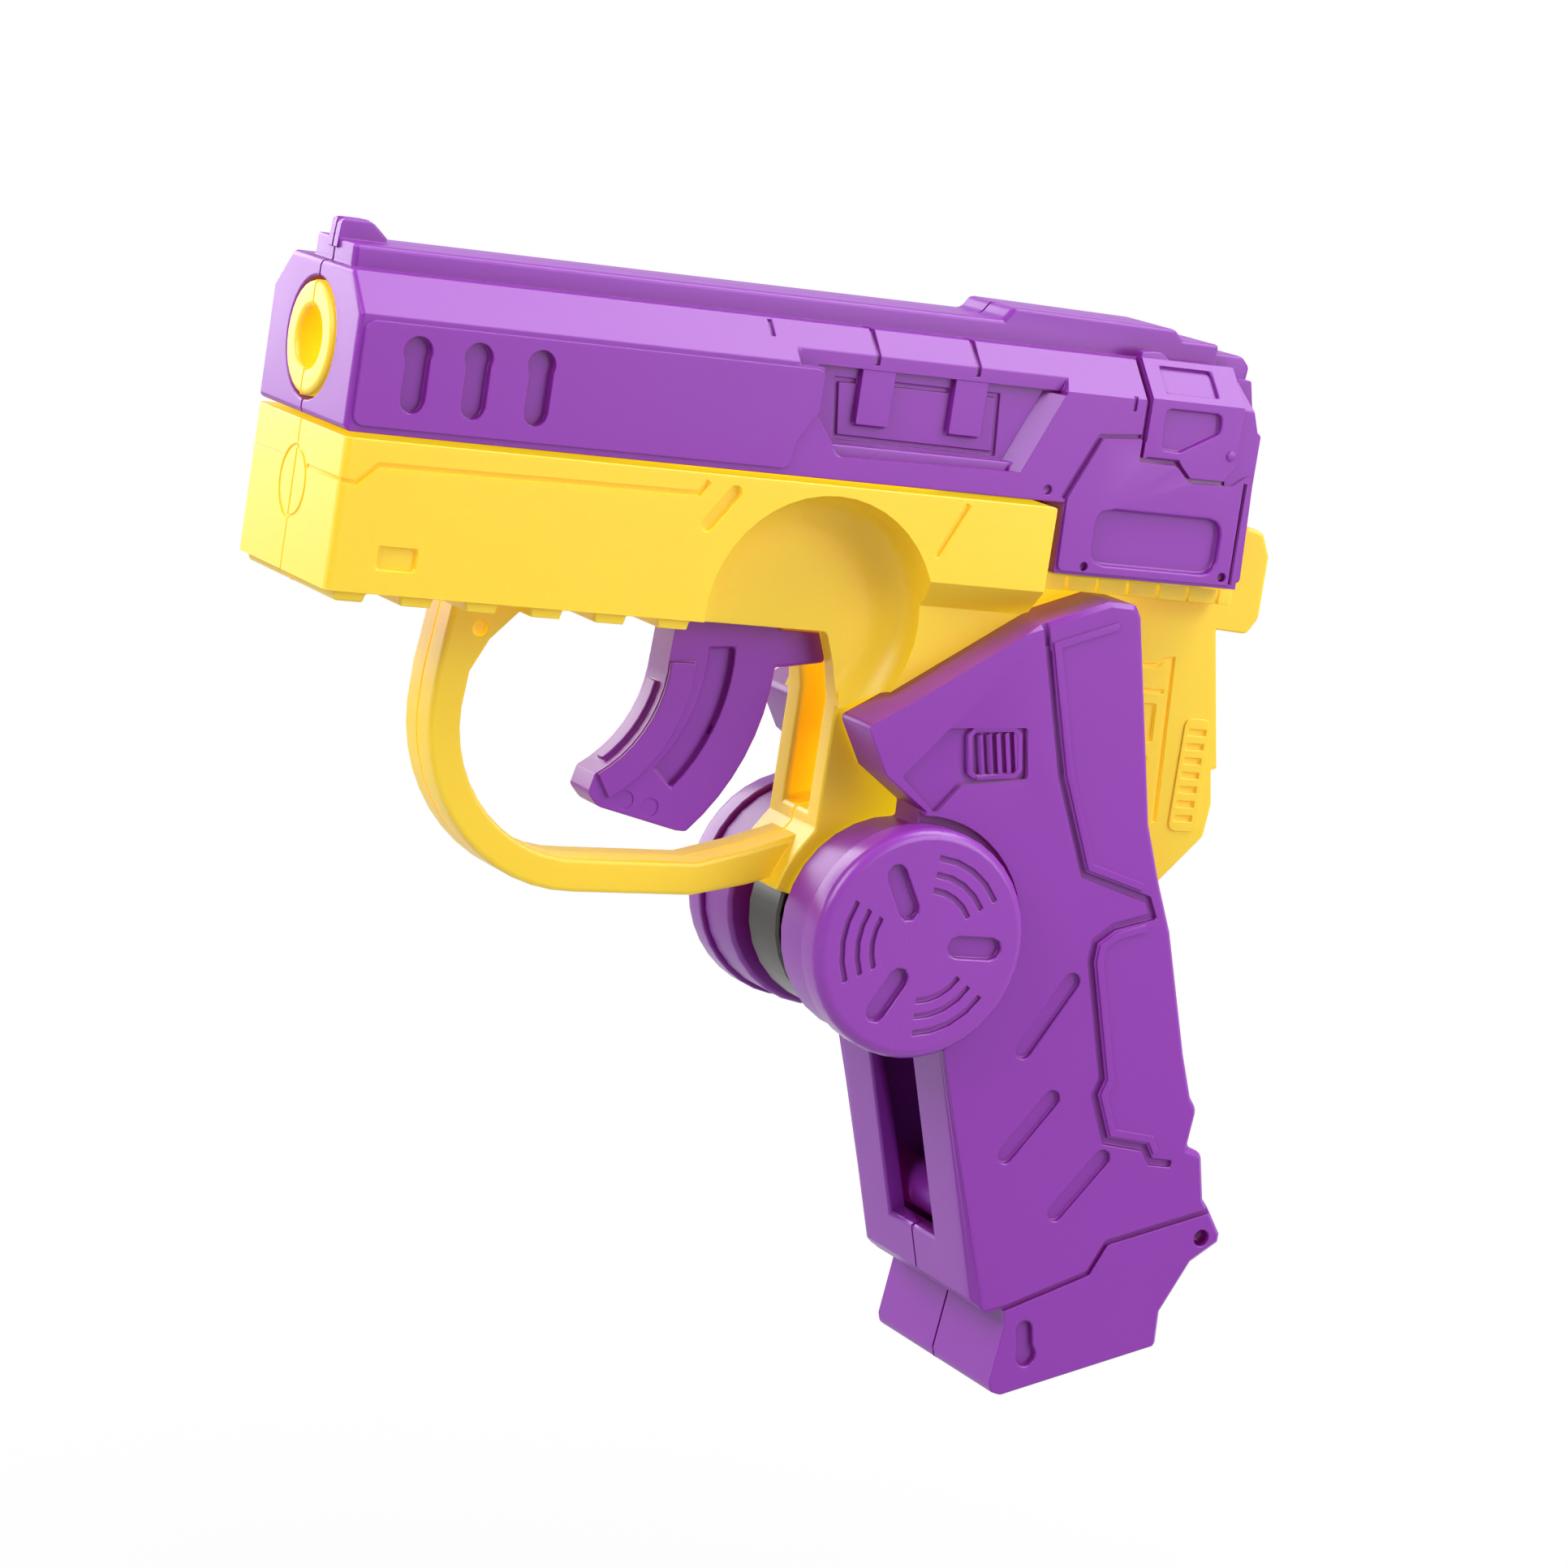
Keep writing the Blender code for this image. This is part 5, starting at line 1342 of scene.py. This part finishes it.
@dataclass(frozen=True)
class Spring:
    """Round-wire compression spring along X.

    The wire's diameter is in millimetres. Keep, the share of its length that is left at the
    end of the joint's travel, is not used, and nor is the joint.
    """

    node: str
    joint: str
    wire: float
    turns: int
    keep: float
    round_steps: int = 12
    turn_steps: int = 28
    smooth_angle: float = 60.0

    def build(self) -> None:
        """Winds, dresses and seats the spring."""
        low, high = (Vector(corner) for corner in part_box(self.node))
        thick = self.wire / 2 * MM
        radius = (high.y - low.y) / 2 - thick
        middle = (low + high) / 2
        upright = (math.pi / 2, 0, 0)
        bpy.ops.mesh.primitive_circle_add(vertices=self.round_steps, radius=thick, rotation=upright)
        coil = bpy.context.object
        coil.name = f"{self.node}_coil"
        bpy.ops.object.transform_apply(location=True, rotation=True, scale=True)
        for vertex in coil.data.vertices:
            vertex.co.z += radius
        steps = self.turn_steps * self.turns
        winding = {
            "axis": "X",
            "angle": 2 * math.pi * self.turns,
            "screw_offset": high.x - low.x - 2 * thick,
            "steps": steps,
            "render_steps": steps,
            "use_merge_vertices": False,
        }
        apply(coil, "SCREW", **winding)
        with editing():
            bpy.ops.mesh.select_all(action="DESELECT")
            bpy.ops.mesh.select_mode(type="EDGE")
            bpy.ops.mesh.select_non_manifold()
            bpy.ops.mesh.edge_face_add()
        start = Vector((low.x + thick, middle.y, middle.z))
        coil.data.transform(Matrix.Translation(start))
        even(coil, self.smooth_angle)
        seat(coil, self.node, "zinc_steel")
        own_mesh(coil)


SPRINGS = (
    Spring("recoil_spring", "rack_slide", wire=0.7, turns=9, keep=0.66),
    Spring("trigger_spring", "pull_trigger", wire=0.5, turns=5, keep=0.57),
)


@dataclass(frozen=True)
class ScrewSet:
    """Equal self-tapping screws with a cross recess, driven from the right.

    The cross is in millimetres, and the widest edge rounding in metres.
    """

    stem: str
    count: int
    recess: float = 2.2
    blade: float = 0.55
    deep: float = 0.8
    rounding: float = 0.00015

    def first(self) -> Piece:
        """The first screw, with its cross cut and its edges rounded."""
        node = f"{self.stem}_1"
        piece = shell(node, f"{node}_cross")
        low, high = (Vector(corner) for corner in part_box(node))
        x, z = (low.x + high.x) / 2, (low.z + high.z) / 2
        tools = []
        for long, wide in ((self.recess, self.blade), (self.blade, self.recess)):
            u, v = long / 2 * MM, wide / 2 * MM
            outline = [(x - u, z - v), (x + u, z - v), (x + u, z + v), (x - u, z + v)]
            foot, top = high.y - self.deep * MM, high.y + CLEAR * MM
            tools.append(prism(outline, foot, top, Run.ACROSS))
        combine(piece, tools, Cut.AWAY)
        flatten(piece)
        round_edges(piece, self.rounding)
        return piece

    def build(self) -> None:
        """Models the first screw and copies it to the other places."""
        model = self.first()
        start = Vector(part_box(f"{self.stem}_1")[0])
        for i in range(2, self.count + 1):
            node = f"{self.stem}_{i}"
            copy = stand(f"{node}_cross", model.data.copy())
            copy.data.transform(Matrix.Translation(Vector(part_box(node)[0]) - start))
            seat(copy, node, "zinc_steel")
        seat(model, f"{self.stem}_1", "zinc_steel")


SCREW_SETS = (
    ScrewSet("slide_screw", 3),
    ScrewSet("frame_screw", 2),
    ScrewSet("tail_screw", 2),
    ScrewSet("grip_screw", 3),
)


def main() -> None:
    """Builds the studio, the finishes and every sub-assembly."""
    Studio().build()
    for slot in FINISHES:
        coat(slot)
    for row in FRAME["record"]["subparts"]:
        dress(FRAME["nodes"][row["node"]], row["material_slot"])
    for side in Side:
        for half in (SlideHalf, FrameHalf, GripHalf, FingerCap):
            half(side).build()
    for assembly in (Trigger(), Hub(), *SPRINGS, *SCREW_SETS):
        assembly.build()


if __name__ == "__main__":
    main()
